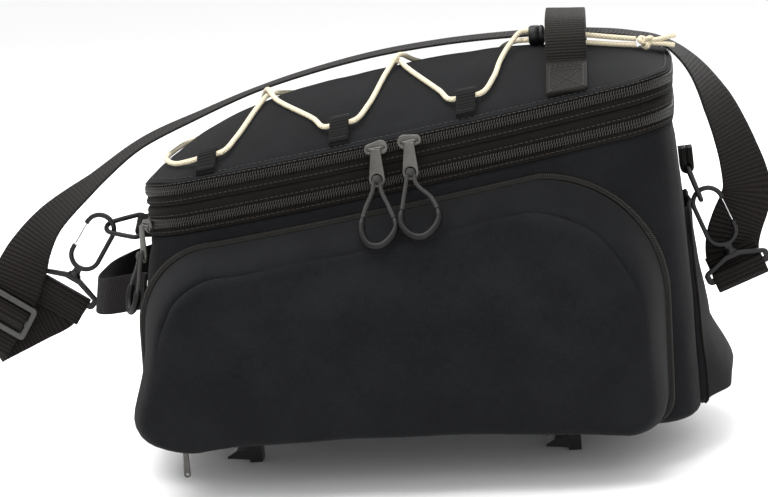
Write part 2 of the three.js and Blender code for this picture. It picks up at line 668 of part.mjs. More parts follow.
// The slider on the strap: a flat frame with a bar across its middle.
function glideBody() {
  const frame = roundedRectangle(glide.width, glide.length, 3);
  const slot = (glide.length - 3 * glide.bar) / 2;
  const holes = [-1, 1].map((side) => {
    const hole = roundedRectangle(glide.width - 2 * glide.bar, slot, 1, THREE.Path);
    const points = hole.getPoints(2).map((q) => new THREE.Vector2(q.x, q.y + (side * (slot + glide.bar)) / 2));
    return new THREE.Path(points);
  });
  return slab(frame, glide.thickness, holes, 3);
}

// Where a snap hook hangs: the middle of its arch, its lean from the upright and the side its gate is on.
// The ring's tip lies in the arch, aside from its middle and above it. The directions are those of the hook's
// own axes in the bag's frame.
function hookPlace(tip, lean, turned) {
  const down = vec(Math.sin(lean), 0, -Math.cos(lean));
  const across = vec(Math.cos(lean), 0, Math.sin(lean));
  const aside = turned ? -snap.aside : snap.aside;
  const arch = tip.clone().addScaledVector(down, snap.aside).addScaledVector(across, aside);
  const toStem = snap.length - snap.halfWidth + snap.stem + gap;
  const bar = arch.clone().addScaledVector(down, toStem + eye.height - eye.bar / 2);
  return { tip, lean, turned, down, across, arch, bar, toStem };
}
// The rings' straight sides lie in their webbing tabs on the bag's two ends; the low ring stands out level and
// leans over, and the high one hangs down.
const tabRound = ringTab.thickness + ring.wire * 0.75 + gap;
const ringPlaces = {
  low: { base: vec(endFace(-1, 0, 147) - gap - ringTab.length - 2.5, 0, 147), turn: 0, lean: 27, tabTurn: 0 },
  high: { base: vec(endFace(1, 0, 171) + gap + tabRound + 0.5, 0, 171), turn: -110, lean: 0, tabTurn: -94 },
};
function ringTip({ base, turn }) {
  const angle = THREE.MathUtils.degToRad(turn);
  return base.clone().add(vec(-Math.cos(angle) * ring.length, 0, Math.sin(angle) * ring.length));
}
const hooks = {
  low: hookPlace(ringTip(ringPlaces.low), THREE.MathUtils.degToRad(-33), true),
  high: hookPlace(ringTip(ringPlaces.high), THREE.MathUtils.degToRad(22), false),
};

// The shoulder strap. It starts doubled round the low hook's bar, turns back through the slider,
// runs over the lid in one arch and ends doubled round the high hook's bar.
// The rows of the route are [x, y, z, turn]: turn is 0 where the strap lies flat and 1 where it faces sideways.
const strapRoute = [
  [-268, -3, 122, 0.8], [-262, 0, 134, 0.62], [-248, 5, 153, 0.42], [-216, 17, 178, 0.22], [-183, 27, 201, 0.12],
  [-140, 32, 219, 0.05], [-97, 32, 235, 0], [-54, 30, 247, 0], [-11, 28, 256, 0], [32, 26, 261.5, 0],
  [67, 25, 264, 0], [106, 24, 265, 0], [140, 23, 264, 0], [166, 21, 261, 0], [187, 19, 255, 0.04],
  [206, 17, 239, 0.2], [222, 15, 212, 0.4], [235, 14, 177, 0.54], [240, 13, 152, 0.7], [237.5, 12, 140, 0.8],
  [233.2, 10.7, 130, 0.88], [230, 9.6, 121, 0.94], [228.4, 8.8, 112.5, 1],
];
const glidePlace = { x: -284, y: -9, z: 93, lean: THREE.MathUtils.degToRad(-33) };

function strapStations() {
  // Points from the middle of a hook's bar: [along the hook, towards the bag's far side].
  const from = ({ bar, down }, across, rows) => rows.map(([along, y]) => ({
    at: bar.clone().addScaledVector(down, along).add(vec(0, y, 0)), across }));
  const beside = eye.thickness / 2 + 2 * gap + webbing / 2;
  const through = -(eye.bar + eye.slot) / 2 - gap;
  const loop = [[0, -beside], [through * 0.85, -beside * 0.8], [through, 0], [through * 0.85, beside * 0.8]];
  const layer = (webbing + gap) / 2 + 0.2;
  const low = from(hooks.low, hooks.low.across.clone().negate(), [
    [strap.end, -layer], [9, -layer - 0.3], [3.5, -beside], ...loop, [0, beside], [4.5, beside]]);
  const outer = 8;
  const high = from(hooks.high, hooks.high.across, [
    [-9, outer + 0.4], [0, outer], [6, outer * 0.68], [8.4, 0.6], [6, -beside], ...loop,
    [-8, outer - 1.2 * webbing - gap], [-strap.end, outer - 1.2 * webbing - gap]]);
  const { x, y, z, lean } = glidePlace;
  const glideAcross = vec(-Math.cos(lean), 0, -Math.sin(lean));
  const glideAlong = vec(-Math.sin(lean), 0, Math.cos(lean));
  const behind = glide.thickness / 2 + webbing / 2 + 1.1;
  const throughGlide = [[-16, behind], [-9.5, behind], [-1.6, -behind], [1.6, -behind], [9.5, behind], [16, behind]];
  const slide = throughGlide.map(([along, back]) => ({
    at: vec(x, y + back, z).addScaledVector(glideAlong, along), across: glideAcross }));

  // Between the low bar and the slider the strap runs straight to its turn, behind the slider, and folds over there.
  const foot = vec(x, 0, z).addScaledVector(glideAlong, -strap.turn);
  const leave = hooks.low.bar.clone().addScaledVector(hooks.low.down, 10);
  const run = foot.clone().sub(leave);
  const away = run.clone().normalize();
  const awayAcross = vec(away.z, 0, -away.x);
  const height = y + behind;
  const turnRadius = (beside - height) / 2;
  const straight = [0.06, 0.3, 0.6].map((share) => ({
    at: leave.clone().addScaledVector(run, share).setY(beside + 0.2), across: awayAcross }));
  const fold = [0, 0.25, 0.5, 0.75, 1].map((share) => {
    const angle = share * Math.PI;
    const outwards = share > 0.5 ? glideAlong.clone().negate() : away;
    const at = foot.clone().addScaledVector(outwards, turnRadius * (Math.sin(angle) - 1));
    at.y = (beside + height) / 2 + turnRadius * Math.cos(angle);
    return { at, across: awayAcross.clone().lerp(glideAcross, share) };
  });
  const turnBack = [...straight, ...fold];
  return { low, turnBack, slide, high };
}

function shoulderStrap() {
  const { low, turnBack, slide, high } = strapStations();
  const arch = strapRoute.map(([x, y, z, turn], i) => {
    const [ax, , az] = strapRoute[Math.max(0, i - 1)];
    const [bx, , bz] = strapRoute[Math.min(strapRoute.length - 1, i + 1)];
    const outward = vec(az - bz, 0, bx - ax).normalize();
    return { at: vec(x, y, z), across: outward.multiplyScalar(turn).add(vec(0, 1 - turn, 0)) };
  });
  return ribbon([...low, ...turnBack, ...slide, ...arch, ...high], strap.width, webbing, 108);
}

// Places a hook's parts: a group in the bag's upright plane, leaning, and turned round where the gate is inside.
function hookGroup({ arch, lean, turned }) {
  const group = new THREE.Group();
  group.position.copy(arch);
  group.rotation.order = "XZY";
  group.rotation.set(Math.PI / 2, turned ? Math.PI : 0, lean);
  root.add(group);
  return group;
}

// A hook of the adapter that grips under the rack: a post with a prong towards the low end.
function rackHookBody() {
  const { thickness, drop, post, prong, prongLift, prongHeight } = rackHook;
  const outline = [[post, -drop], [post, -gap + rail.height], [-prong * 0.6, -gap + rail.height],
    [-prong * 0.6, rail.height - 3], [0, rail.height - 3], [0, -drop + prongLift + prongHeight],
    [-prong * 0.6, -drop + prongLift + prongHeight - 1], [-prong, -drop + prongLift + 1.2], [-prong, -drop + prongLift],
    [0, -drop + prongLift * 0.6], [0, -drop]];
  const shape = new THREE.Shape(outline.reverse().map(([x, z]) => new THREE.Vector2(x, z)));
  return slab(shape, thickness).rotateX(Math.PI / 2);
}

// A zip slider, seen from the front: a rounded body, wider at one end, over the chain.
function sliderBody({ length, width }) {
  const end = width * 0.36;
  const shape = new THREE.Shape();
  shape.absarc(-length / 2 + end, 0, end, Math.PI / 2, 1.5 * Math.PI);
  shape.absarc(length / 2 - width / 2, 0, width / 2, 1.5 * Math.PI, 2.5 * Math.PI);
  return slab(shape, slider.height, [], 4);
}

// A slider's pull tab, hanging from its top edge at the local origin, with an eye near its foot.
function pullTab({ width, length, thickness, eye: bore }) {
  const half = width / 2;
  const shape = new THREE.Shape();
  shape.moveTo(-half * 0.6, 0);
  shape.absarc(0, -length + half, half, Math.PI, 2 * Math.PI);
  shape.lineTo(half * 0.6, 0);
  const hole = new THREE.Path();
  hole.absarc(0, -length + half, bore, 0, 2 * Math.PI);
  return slab(shape, thickness, [hole], 5);
}

// Adds a slider with its tab and, on most, a loop of cord. The place is on the chain's face, facing turns the
// set about the upright axis from the near side, and the loop leans out from the bag by a share of its drop.
function zipPull(name, [size, hanging], position, facing, tilt, loopPoints = [], lean = 0) {
  const group = new THREE.Group();
  group.position.copy(position);
  group.rotation.order = "ZXY";
  group.rotation.set(Math.PI / 2, 0, facing);
  root.add(group);
  const body = add(`zip_slider_${name}`, sliderBody(size), "metal", group);
  body.position.z = slider.height / 2;
  body.rotation.z = tilt;
  const hang = add(`pull_tab_${name}`, pullTab(hanging), "metal", group);
  hang.position.set(0, 0, slider.height + gap + hanging.thickness / 2);
  const front = slider.height + hanging.thickness + 2 * gap + loopPull.diameter / 2;
  const eyeDrop = hanging.length - hanging.width / 2;
  const points = loopPoints.map(([x, y]) => vec(x, -eyeDrop - y, front + lean * y));
  if (points.length) add(`pull_loop_${name}`, cordAlong(points, loopPull.diameter, 15), "tape", group);
}

add("main_compartment", mainCompartment(), "shell");
add("zip_band", zipBand(), "tape");
add("zip_chain_lower", zipChain(zip.lower), "tape");
add("zip_chain_upper", zipChain(zip.upper), "tape");
add("lid", lidPanel(), "shell");
for (const [name, side] of [["near", -1], ["far", 1]]) {
  add(`side_pocket_${name}`, sidePocket(side), "shell");
  add(`pocket_zip_${name}`, pocketZipChain(side), "tape");
}
add("end_pouch", endPouchShell(), "shell");

const adapterPlate = slab(roundedRectangle(plate.length, plate.width, plate.corner), plate.thickness);
add("adapter_plate", adapterPlate, "plastic").position.z = rail.height + plate.thickness / 2;
const adapterRail = slab(roundedRectangle(rail.length, rail.width, 6), rail.height - gap);
add("adapter_rail", adapterRail, "plastic").position.z = (rail.height - gap) / 2;
for (const [end, x] of [["low", -1], ["high", 1]]) {
  for (const [side, y] of [["near", -1], ["far", 1]]) {
    const hook = add(`rack_hook_${end}_${side}`, rackHookBody(), "plastic");
    hook.position.set((x * rackHook.spacing) / 2, y * rackHook.offset, 0);
  }
}

for (const [name, side] of [["near", -1], ["far", 1]]) {
  tab.places.forEach((x, i) => add(`cord_tab_${name}_${i + 1}`, cordTab(x, side), "webbing"));
}
const halfSteps = 58;
add("elastic_cord_1", cordAlong(strandPoints(firstHalf, true), cord.diameter, halfSteps), "cord");
add("elastic_cord_2", cordAlong(strandPoints(secondHalf, false), cord.diameter, halfSteps), "cord");
add("cord_lock", cordLockBody(), "plastic").position.set(cordLock.place, lockY, lockHeight());
add("cord_knot", knotBody(), "cord").position.set(knot.place, lockY, knotHeight());

add("carry_handle", carryHandle(), "webbing");
add("end_handle", endHandleLoop(), "webbing");

for (const [name, hook] of Object.entries(hooks)) {
  const group = hookGroup(hook);
  add(`snap_hook_${name}`, snapHookBody(), "plastic", group);
  const gate = add(`snap_gate_${name}`, snapGateBody(), "metal", group);
  gate.position.set(snap.halfWidth - snap.bar / 2, -(snap.length - 2 * snap.halfWidth) + snap.ear + 2 * gap, 0);
  const swivel = add(`swivel_eye_${name}`, swivelEyeBody(), "plastic", group);
  swivel.position.y = -hook.toStem;
}
for (const [name, spot] of Object.entries(ringPlaces)) {
  const group = new THREE.Group();
  group.position.copy(spot.base);
  root.add(group);
  const loop = add(`ring_${name}`, ringBody(), "plastic", group);
  loop.position.copy(ringTip(spot)).sub(spot.base);
  loop.rotation.set(THREE.MathUtils.degToRad(spot.lean), THREE.MathUtils.degToRad(spot.turn), 0);
  const holder = add(`ring_tab_${name}`, ringTabBody(), "webbing", group);
  holder.rotation.set(THREE.MathUtils.degToRad(spot.lean), THREE.MathUtils.degToRad(spot.tabTurn), 0);
}

const strapSlider = add("strap_slider", glideBody(), "metal");
strapSlider.position.set(glidePlace.x, glidePlace.y, glidePlace.z);
strapSlider.rotation.order = "XZY";
strapSlider.rotation.set(Math.PI / 2, 0, glidePlace.lean);
add("shoulder_strap", shoulderStrap(), "webbing");

// The zip sliders with their pulls. A loop's rows are places beside the tab's eye and drops below it.
const upperY = -(rim.depth / 2 + sideBow + zip.thickness + gap);
const firstLoop = [[-1.8, 0], [-3, 7], [-8, 18], [-10, 30], [-5, 38], [3, 38.5], [12, 29], [8, 17], [3, 7], [1.8, 0]];
const secondLoop = [[-1.8, 0], [-3, 7], [-5, 18], [-6, 30], [1, 37], [9, 37.5], [18, 28], [14, 16], [4, 7], [1.8, 0]];
const endLoop = [[-1.8, 0], [-3, 8], [-8, 18], [-9, 29], [-2, 37], [6, 31], [6, 20], [3, 8], [1.8, 0]];
zipPull("top_1", [slider, pull], vec(-4, upperY, rimTop(-4) + zip.upper + 2), 0, 0.15, firstLoop, 0.66);
zipPull("top_2", [slider, pull], vec(18, upperY, rimTop(18) + zip.upper + 2), 0, 0.15 + Math.PI, secondLoop, 0.66);
const cornerTurn = THREE.MathUtils.degToRad(-62);
const cornerOut = cornerRadius + zip.thickness + gap;
const cornerX = rim.centre - rim.length / 2 + cornerRadius + cornerOut * Math.sin(cornerTurn) - endBow / 2;
const cornerY = -rim.depth / 2 + cornerRadius - cornerOut * Math.cos(cornerTurn);
zipPull("end", [slider, pull], vec(cornerX, cornerY, rimTop(cornerX) + zip.lower), cornerTurn, 0, endLoop, 0.25);
for (const [name, side] of [["pocket_near", -1], ["pocket_far", 1]]) {
  const [x, z] = pocketOutline(-(pocketZip.width / 2 + gap)).at(-4);
  const y = side * (sideFace(x, z) + 2 * gap + pocketZip.thickness);
  const tilt = side > 0 ? 0.3 : Math.PI - 0.3;
  zipPull(name, [pocketSlider, pocketPull], vec(x, y, z - 0.8), side > 0 ? Math.PI : 0, tilt);
}

export default root;
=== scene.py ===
import math

import bpy
from mathutils import Matrix, Vector, noise


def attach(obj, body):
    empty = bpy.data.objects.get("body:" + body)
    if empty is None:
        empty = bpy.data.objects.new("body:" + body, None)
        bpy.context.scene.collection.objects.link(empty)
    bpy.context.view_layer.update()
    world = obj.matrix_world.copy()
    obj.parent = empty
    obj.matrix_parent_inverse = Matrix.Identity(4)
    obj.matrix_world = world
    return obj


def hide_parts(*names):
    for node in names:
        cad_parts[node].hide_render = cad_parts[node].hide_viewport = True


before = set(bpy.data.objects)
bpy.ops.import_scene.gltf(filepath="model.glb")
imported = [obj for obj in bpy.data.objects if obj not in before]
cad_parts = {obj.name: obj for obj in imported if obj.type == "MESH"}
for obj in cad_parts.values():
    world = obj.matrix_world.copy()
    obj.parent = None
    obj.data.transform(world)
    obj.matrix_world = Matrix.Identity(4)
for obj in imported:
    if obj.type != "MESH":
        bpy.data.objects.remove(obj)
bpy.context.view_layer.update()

# The view
# A soft rack bag standing level on a plain pale floor, as in a catalogue picture, with large soft lights
# above, in front and behind. The camera stands far off, low, and a little tilted. Sizes are in millimetres.
MM = 0.001
scene = bpy.context.scene
scene.view_settings.view_transform = "Standard"
turn, rise, tilt = math.radians(5), math.radians(11), math.radians(3.55)
distance = 1700
picture_width, pixels_per_mm = 768, 1.451
looking = Vector((-math.sin(turn) * math.cos(rise), math.cos(turn) * math.cos(rise), -math.sin(rise)))
level = Vector((math.cos(turn), math.sin(turn), 0))
above = level.cross(looking)
right = math.cos(tilt) * level - math.sin(tilt) * above
upward = math.sin(tilt) * level + math.cos(tilt) * above
lens = bpy.data.cameras.new("camera")
lens.sensor_width = 36
lens.lens = 36 * pixels_per_mm * distance / picture_width
lens.shift_x = -16.9 / picture_width
lens.shift_y = 22.7 / picture_width
lens.clip_end = 50
camera = bpy.data.objects.new("camera", lens)
camera.matrix_world = Matrix((right, upward, -looking)).transposed().to_4x4()
camera.location = (Vector((0, -20, 110)) - distance * looking) * MM
scene.collection.objects.link(camera)
scene.camera = camera

floor_mesh = bpy.data.meshes.new("floor")
floor_z = -14.3 * MM
floor_corners = [(-6, -6, floor_z), (6, -6, floor_z), (6, 12, floor_z), (-6, 12, floor_z)]
floor_mesh.from_pydata(floor_corners, [], [(0, 1, 2, 3)])
floor = bpy.data.objects.new("floor", floor_mesh)
scene.collection.objects.link(floor)
paper = bpy.data.materials.new("pale_paper")
paper.use_nodes = True
paper_shader = paper.node_tree.nodes["Principled BSDF"]
paper_shader.inputs["Base Color"].default_value = (0.93, 0.93, 0.93, 1)
paper_shader.inputs["Roughness"].default_value = 0.95
floor_mesh.materials.append(paper)

world = bpy.data.worlds.new("studio")
world.use_nodes = True
background = world.node_tree.nodes["Background"]
background.inputs["Color"].default_value = (1, 1, 1, 1)
background.inputs["Strength"].default_value = 1.0
scene.world = world
soft_lights = [
    # name, place, aimed at, size, watts
    ("overhead", (-0.35, -0.1, 1.5), (0, 0, 0.15), 1.6, 34),
    ("front", (0.5, -2.0, 0.9), (0, 0, 0.1), 1.4, 16),
    ("behind", (0.9, 1.3, 1.0), (0, 0, 0.15), 1.2, 18),
]
for name, place, aim, size, watts in soft_lights:
    light = bpy.data.lights.new(name, "AREA")
    light.size = size
    light.energy = watts
    lamp = bpy.data.objects.new(name, light)
    lamp.location = place
    lamp.rotation_euler = (Vector(place) - Vector(aim)).to_track_quat("Z", "Y").to_euler()
    scene.collection.objects.link(lamp)


# Pull loops
# Each zip pull on the bag's front ends in a loop of dark braided cord with a slim moulded sleeve over its
# lowest part. The two ends of the loop pass through the tab's eye and are clamped there.
class Shade:
    """One socket of a material, so that sums on it can be written as Python."""

    def __init__(self, finish, socket):
        self.finish = finish
        self.socket = socket

    def math(self, operation, *values):
        return self.finish.node("ShaderNodeMath", {"operation": operation}, dict(enumerate(values)))

    def __add__(self, other):
        return self.math("ADD", self, other)

    def __radd__(self, other):
        return self.math("ADD", other, self)

    def __sub__(self, other):
        return self.math("SUBTRACT", self, other)

    def __rsub__(self, other):
        return self.math("SUBTRACT", other, self)

    def __mul__(self, other):
        return self.math("MULTIPLY", self, other)

    def __rmul__(self, other):
        return self.math("MULTIPLY", other, self)

    def wave(self):
        """A smooth wave between 0 and 1, one for each whole number of the value."""
        return self.math("SINE", self * (2 * math.pi)) * 0.5 + 0.5


class Finish:
    """A material round one Principled shader, whose constants are set on its own sockets."""

    def __init__(self, name, **constants):
        self.material = bpy.data.materials.new(name)
        self.material.use_nodes = True
        self.tree = self.material.node_tree
        self.shader = self.tree.nodes["Principled BSDF"]
        for socket, value in constants.items():
            self.shader.inputs[socket.replace("_", " ")].default_value = value

    def node(self, kind, settings, sockets, output=0):
        made = self.tree.nodes.new(kind)
        for key, value in settings.items():
            setattr(made, key, value)
        for key, value in sockets.items():
            if isinstance(value, Shade):
                self.tree.links.new(value.socket, made.inputs[key])
            else:
                made.inputs[key].default_value = value
        return Shade(self, made.outputs[output])

    def cloth(self):
        """The place on the cloth in metres, across it and along it."""
        place = self.node("ShaderNodeUVMap", {"uv_map": "cloth"}, {})
        return [self.node("ShaderNodeSeparateXYZ", {}, {0: place}, axis) for axis in (0, 1)]

    def grain(self, scale, detail=2.0, stretch=None):
        """Noise from 0 to 1, in the object's own space or stretched over the cloth."""
        if stretch:
            across, along = self.cloth()
            place = self.node("ShaderNodeCombineXYZ", {}, {0: across * stretch[0], 1: along * stretch[1]})
        else:
            place = self.node("ShaderNodeTexCoord", {}, {}, "Object")
        return self.node("ShaderNodeTexNoise", {}, {"Vector": place, "Scale": scale, "Detail": detail})

    def blend(self, factor, dark, light):
        """A colour between two, each given as red, green and blue or as a link."""
        colours = [c if isinstance(c, Shade) else (*c, 1) for c in (dark, light)]
        return self.node("ShaderNodeMix", {"data_type": "RGBA"}, {0: factor, 6: colours[0], 7: colours[1]}, 2)

    def paint(self, **links):
        for socket, shade in links.items():
            self.tree.links.new(shade.socket, self.shader.inputs[socket.replace("_", " ")])
        return self

    def raised(self, height, depth, strength=1.0):
        """Raises the surface by height, from 0 to 1, times depth in millimetres."""
        sockets = {"Height": height, "Distance": depth * MM, "Strength": strength}
        return self.paint(Normal=self.node("ShaderNodeBump", {}, sockets))


def plain(name, spots, dark, light, **constants):
    """A finish of one colour that wanders between two. spots is the scale of its noise, and its detail."""
    finish = Finish(name, **constants)
    return finish.paint(Base_Color=finish.blend(finish.grain(*spots), dark, light))


def braided(name, dark, light, around, along, roughness=0.75):
    """A braided sleeve: strands that cross in both directions, counted round it and for each millimetre."""
    finish = Finish(name, Roughness=roughness, Sheen_Weight=0.06)
    across, run = finish.cloth()
    turns, rise_by = across * (around / MM), run * (along / MM)
    strand = (turns + rise_by).wave() * (turns - rise_by).wave()
    finish.paint(Base_Color=finish.blend(strand * 0.7 + finish.grain(900) * 0.5, dark, light))
    return finish.raised(strand, 0.25)


def smooth_curve(points, fine, closed=False):
    """The smooth curve through points that the solids use, in fine steps from each point to the next."""
    n = len(points)
    curve = []
    for i in range(n if closed else n - 1):
        b, c = points[i], points[(i + 1) % n]
        a = points[i - 1] if i or closed else b + (b - c)
        d = points[(i + 2) % n] if i + 2 < n or closed else c + (c - b)
        t1 = max((b - a).length ** 0.5, 1e-4)
        t2 = t1 + max((c - b).length ** 0.5, 1e-4)
        t3 = t2 + max((d - c).length ** 0.5, 1e-4)
        for k in range(fine):
            t = t1 + (t2 - t1) * k / fine
            ab, bc, cd = a.lerp(b, t / t1), b.lerp(c, (t - t1) / (t2 - t1)), c.lerp(d, (t - t2) / (t3 - t2))
            curve.append(ab.lerp(bc, t / t2).lerp(bc.lerp(cd, (t - t1) / (t3 - t1)), (t - t1) / (t2 - t1)))
    curve.append(curve[0] if closed else points[-1])
    return curve


def spline(points, count, closed=False):
    """The given number of points, evenly spaced on the smooth curve through the given ones."""
    curve = smooth_curve([Vector(p) for p in points], 16, closed)
    return even(curve, count + 1)[:-1] if closed else even(curve, count)


def even(line, count):
    """The given number of points spread evenly along a line of points, from its start to its end."""
    reach = [0.0]
    for p, q in zip(line, line[1:]):
        reach.append(reach[-1] + (q - p).length)
    spread, k = [], 0
    for i in range(count):
        wanted = reach[-1] * i / (count - 1)
        while k < len(line) - 2 and reach[k + 1] < wanted:
            k += 1
        step = reach[k + 1] - reach[k]
        spread.append(line[k].lerp(line[k + 1], (wanted - reach[k]) / step if step else 0))
    return spread


def run_length(line):
    return sum((q - p).length for p, q in zip(line, line[1:]))


def piece(name, points, faces, finish, stands_for=(), slot=None, body="root", uvs=None, smooth=True):
    """One piece of the bag, from points in millimetres, that moves with a body and stands for solids."""
    mesh = bpy.data.meshes.new(name)
    mesh.from_pydata([Vector(p) * MM for p in points], [], faces)
    if uvs:
        layer = mesh.uv_layers.new(name="cloth")
        layer.data.foreach_set("uv", [value * MM for face in uvs for uv in face for value in uv])
    mesh.polygons.foreach_set("use_smooth", [smooth] * len(faces))
    mesh.materials.append(finish.material)
    mesh.validate()
    made = bpy.data.objects.new(name, mesh)
    scene.collection.objects.link(made)
    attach(made, body)
    if stands_for:
        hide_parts(*stands_for)
    return made


def net(rows, around=True, ring=False, capped=False):
    """Faces between rows of points, and each corner's place on the cloth: across a row, then row to row."""
    n, m = len(rows[0]), len(rows)
    columns = n if around else n - 1
    across = []
    for row in rows:
        reach = [0.0]
        for j in range(columns):
            reach.append(reach[-1] + (row[(j + 1) % n] - row[j]).length)
        across.append([r - reach[-1] / 2 for r in reach])
    along = [0.0]
    for i in range(m if ring else m - 1):
        step = sum((rows[(i + 1) % m][j] - rows[i][j]).length for j in range(0, n, max(1, n // 8)))
        along.append(along[-1] + step / len(range(0, n, max(1, n // 8))))
    faces, uvs = [], []
    for i in range(m if ring else m - 1):
        k = (i + 1) % m
        for j in range(columns):
            q = (j + 1) % n
            faces.append((i * n + j, i * n + q, k * n + q, k * n + j))
            uvs.append(((across[i][j], along[i]), (across[i][j + 1], along[i]),
                        (across[k][j + 1], along[i + 1]), (across[k][j], along[i + 1])))
    if capped:
        for i, order in ((0, range(n - 1, -1, -1)), (m - 1, range(n))):
            faces.append(tuple(i * n + j for j in order))
            uvs.append(tuple((rows[i][j][0], rows[i][j][1]) for j in order))
    return [p for row in rows for p in row], faces, uvs


def rope_rows(line, radius, sides=12, closed=False):
    """Rings of points round a line, turned as little as possible from one to the next."""
    rows, normal = [], None
    n = len(line)
    for i, p in enumerate(line):
        before = line[i - 1] if i or closed else p
        after = line[(i + 1) % n] if i + 1 < n or closed else p
        forward = (after - before).normalized()
        if normal is None:
            normal = forward.orthogonal().normalized()
        normal = (normal - forward * normal.dot(forward)).normalized()
        side = forward.cross(normal)
        r = radius(i / (n - 1)) if callable(radius) else radius
        angles = [2 * math.pi * j / sides for j in range(sides)]
        rows.append([p + r * (math.cos(a) * normal + math.sin(a) * side) for a in angles])
    return rows


def rope(name, line, radius, finish, sides=12, closed=False, **how):
    points, faces, uvs = net(rope_rows(line, radius, sides, closed), ring=closed, capped=not closed)
    return piece(name, points, faces, finish, uvs=uvs, **how)


dark_braid = braided("dark_braided_cord", (0.004, 0.0037, 0.0033), (0.018, 0.0165, 0.0148), 0.5, 0.45)
sleeve_rubber = plain("moulded_sleeve", [260], (0.0018, 0.0017, 0.0016), (0.0042, 0.0040, 0.0037),
                      Roughness=0.42, Specular_IOR_Level=0.2)
sleeve_rubber.raised(sleeve_rubber.grain(1500), 0.05)
loop_routes = {
    "top_1": [(-5.8, -111.1, 188.7), (-7, -115.7, 181.7), (-12, -123, 170.7), (-14, -130.9, 158.7),
              (-9, -136.2, 150.7), (-1, -136.5, 150.2), (8, -130.2, 159.7), (4, -122.3, 171.7),
              (-1, -115.7, 181.7), (-2.2, -111.1, 188.7)],
    "top_2": [(16.2, -111.1, 192.3), (15, -115.7, 185.3), (13, -123, 174.3), (12, -130.9, 162.3),
              (19, -135.5, 155.3), (27, -135.9, 154.8), (36, -129.6, 164.3), (32, -121.7, 176.3),
              (22, -115.7, 185.3), (19.8, -111.1, 192.3)],
    "end": [(-168.3, -85.2, 141.6), (-170.6, -85.1, 133.6), (-175.1, -81.9, 123.6), (-178, -82.3, 112.6),
            (-176.5, -89.4, 104.6), (-171.4, -95.8, 110.6), (-169, -94.5, 121.6), (-167.8, -90.4, 133.6),
            (-166.6, -88.4, 141.6)],
}
loop_radius = 1.3
for name, route in loop_routes.items():
    line = spline(route, 72)
    body = f"pull_{name}"
    cord = rope(f"loop_{name}", line, loop_radius, dark_braid, body=body, stands_for=[f"pull_loop_{name}"],
                slot="loop_cord")
    lowest = min(range(len(line)), key=lambda i: line[i].z)
    around_foot = line[max(0, lowest - 17):lowest + 18]
    sleeve = rope(f"loop_sleeve_{name}", around_foot,
                  lambda t: loop_radius + 1.15 * min(1, 14 * t, 14 * (1 - t)),
                  sleeve_rubber, sides=16, body=body, slot="loop_cord")
    metres = [p * MM for p in line]
    run_length(metres)


# Main compartment
# The wedge-shaped body: padded polyester over foam, front, back and end panels joined at the four corners by
# turned seams with a line of topstitching, and a flat floor over the adapter's plate.
def woven(name, dark, light, pitch, roughness, sheen):
    """Plain-woven polyester yarn: warp over weft with uneven yarns, and a faint mottling over the panel."""
    finish = Finish(name, Roughness=roughness, Sheen_Weight=sheen, Sheen_Roughness=0.4,
                    Specular_IOR_Level=0.08)
    across, along = finish.cloth()
    warp = (across * (1 / (pitch * MM))).wave()
    weft = (along * (1 / (pitch * MM))).wave()
    yarn = finish.grain(1.0, 2.0, (900, 170)) * 0.5 + finish.grain(1.0, 2.0, (170, 900)) * 0.5
    thread = warp * weft + (1 - warp) * (1 - weft)
    mottle = finish.grain(28, 3.0)
    finish.paint(Base_Color=finish.blend(thread * 0.25 + yarn * 0.75 + mottle * 0.5 - 0.3, dark, light))
    return finish.raised(thread * 0.55 + yarn * 0.9, 0.26)


shell_cloth = woven("charcoal_polyester", (0.0012, 0.0013, 0.0017), (0.0125, 0.0130, 0.0142), 0.95, 0.9, 0.03)
wall, gap = 2.5, 0.3
base_height = 14.3
rim_length, rim_depth, rim_centre = 346, 196, 13
corner_radius = 30


def mixed(a, b, t):
    return a + (b - a) * t


def rim_top(x):
    """The height of the seam between the compartment and the zip gusset above the rack, at x."""
    t = (x - rim_centre) / rim_length + 0.5
    return base_height + mixed(138.7, 196.7, t) - 12 * t * (1 - t)


def plan_loop(centre, half_length, half_depth, radius, bow=1.0, arcs=9, sides=(30, 18)):
    """A rounded rectangle seen from above whose sides bow outwards, anticlockwise from its +X side."""
    r = min(radius, half_depth * 0.98)
    corners = []
    for quarter, (sx, sy) in enumerate([(1, 1), (-1, 1), (-1, -1), (1, -1)]):
        angles = [(quarter + i / arcs) * math.pi / 2 for i in range(arcs + 1)]
        at_x, at_y = sx * (half_length - r), sy * (half_depth - r)
        corners.append([(at_x + r * math.cos(a), at_y + r * math.sin(a)) for a in angles])
    outline = []
    for quarter, corner in enumerate(corners):
        outline += corner
        start, end = corner[-1], corners[(quarter + 1) % 4][0]
        shares = [i / sides[quarter % 2] for i in range(1, sides[quarter % 2])]
        outline += [(mixed(start[0], end[0], share), mixed(start[1], end[1], share)) for share in shares]
    return [(centre + x + math.copysign(bow * 4 * (1 - (y / half_depth) ** 2), x),
             y + math.copysign(bow * 3 * (1 - (x / half_length) ** 2), y)) for x, y in outline]


def body_plan(share, inset=0.0):
    """Centre, half length, half depth and corner radius of the compartment at a share of its height."""
    swell = 3 * math.sin(math.pi * share)
    return (mixed(11, rim_centre, share), mixed(375, rim_length, share) / 2 + swell / 2 - inset,
            mixed(206, rim_depth, share) / 2 + swell - inset, max(corner_radius - inset, 4))


def body_row(share, inset=0.0, lift=0.0):
    return [Vector((x, y, base_height + lift + share * (rim_top(x) - base_height - lift)))
            for x, y in plan_loop(*body_plan(share, inset))]


def side_face(x, z):
    """How far out the compartment's long side lies at (x, z)."""
    centre, half_length, half_depth, _ = body_plan(max(0.0, (z - base_height) / (rim_top(x) - base_height)))
    return half_depth + 3 * (1 - ((x - centre) / half_length) ** 2)


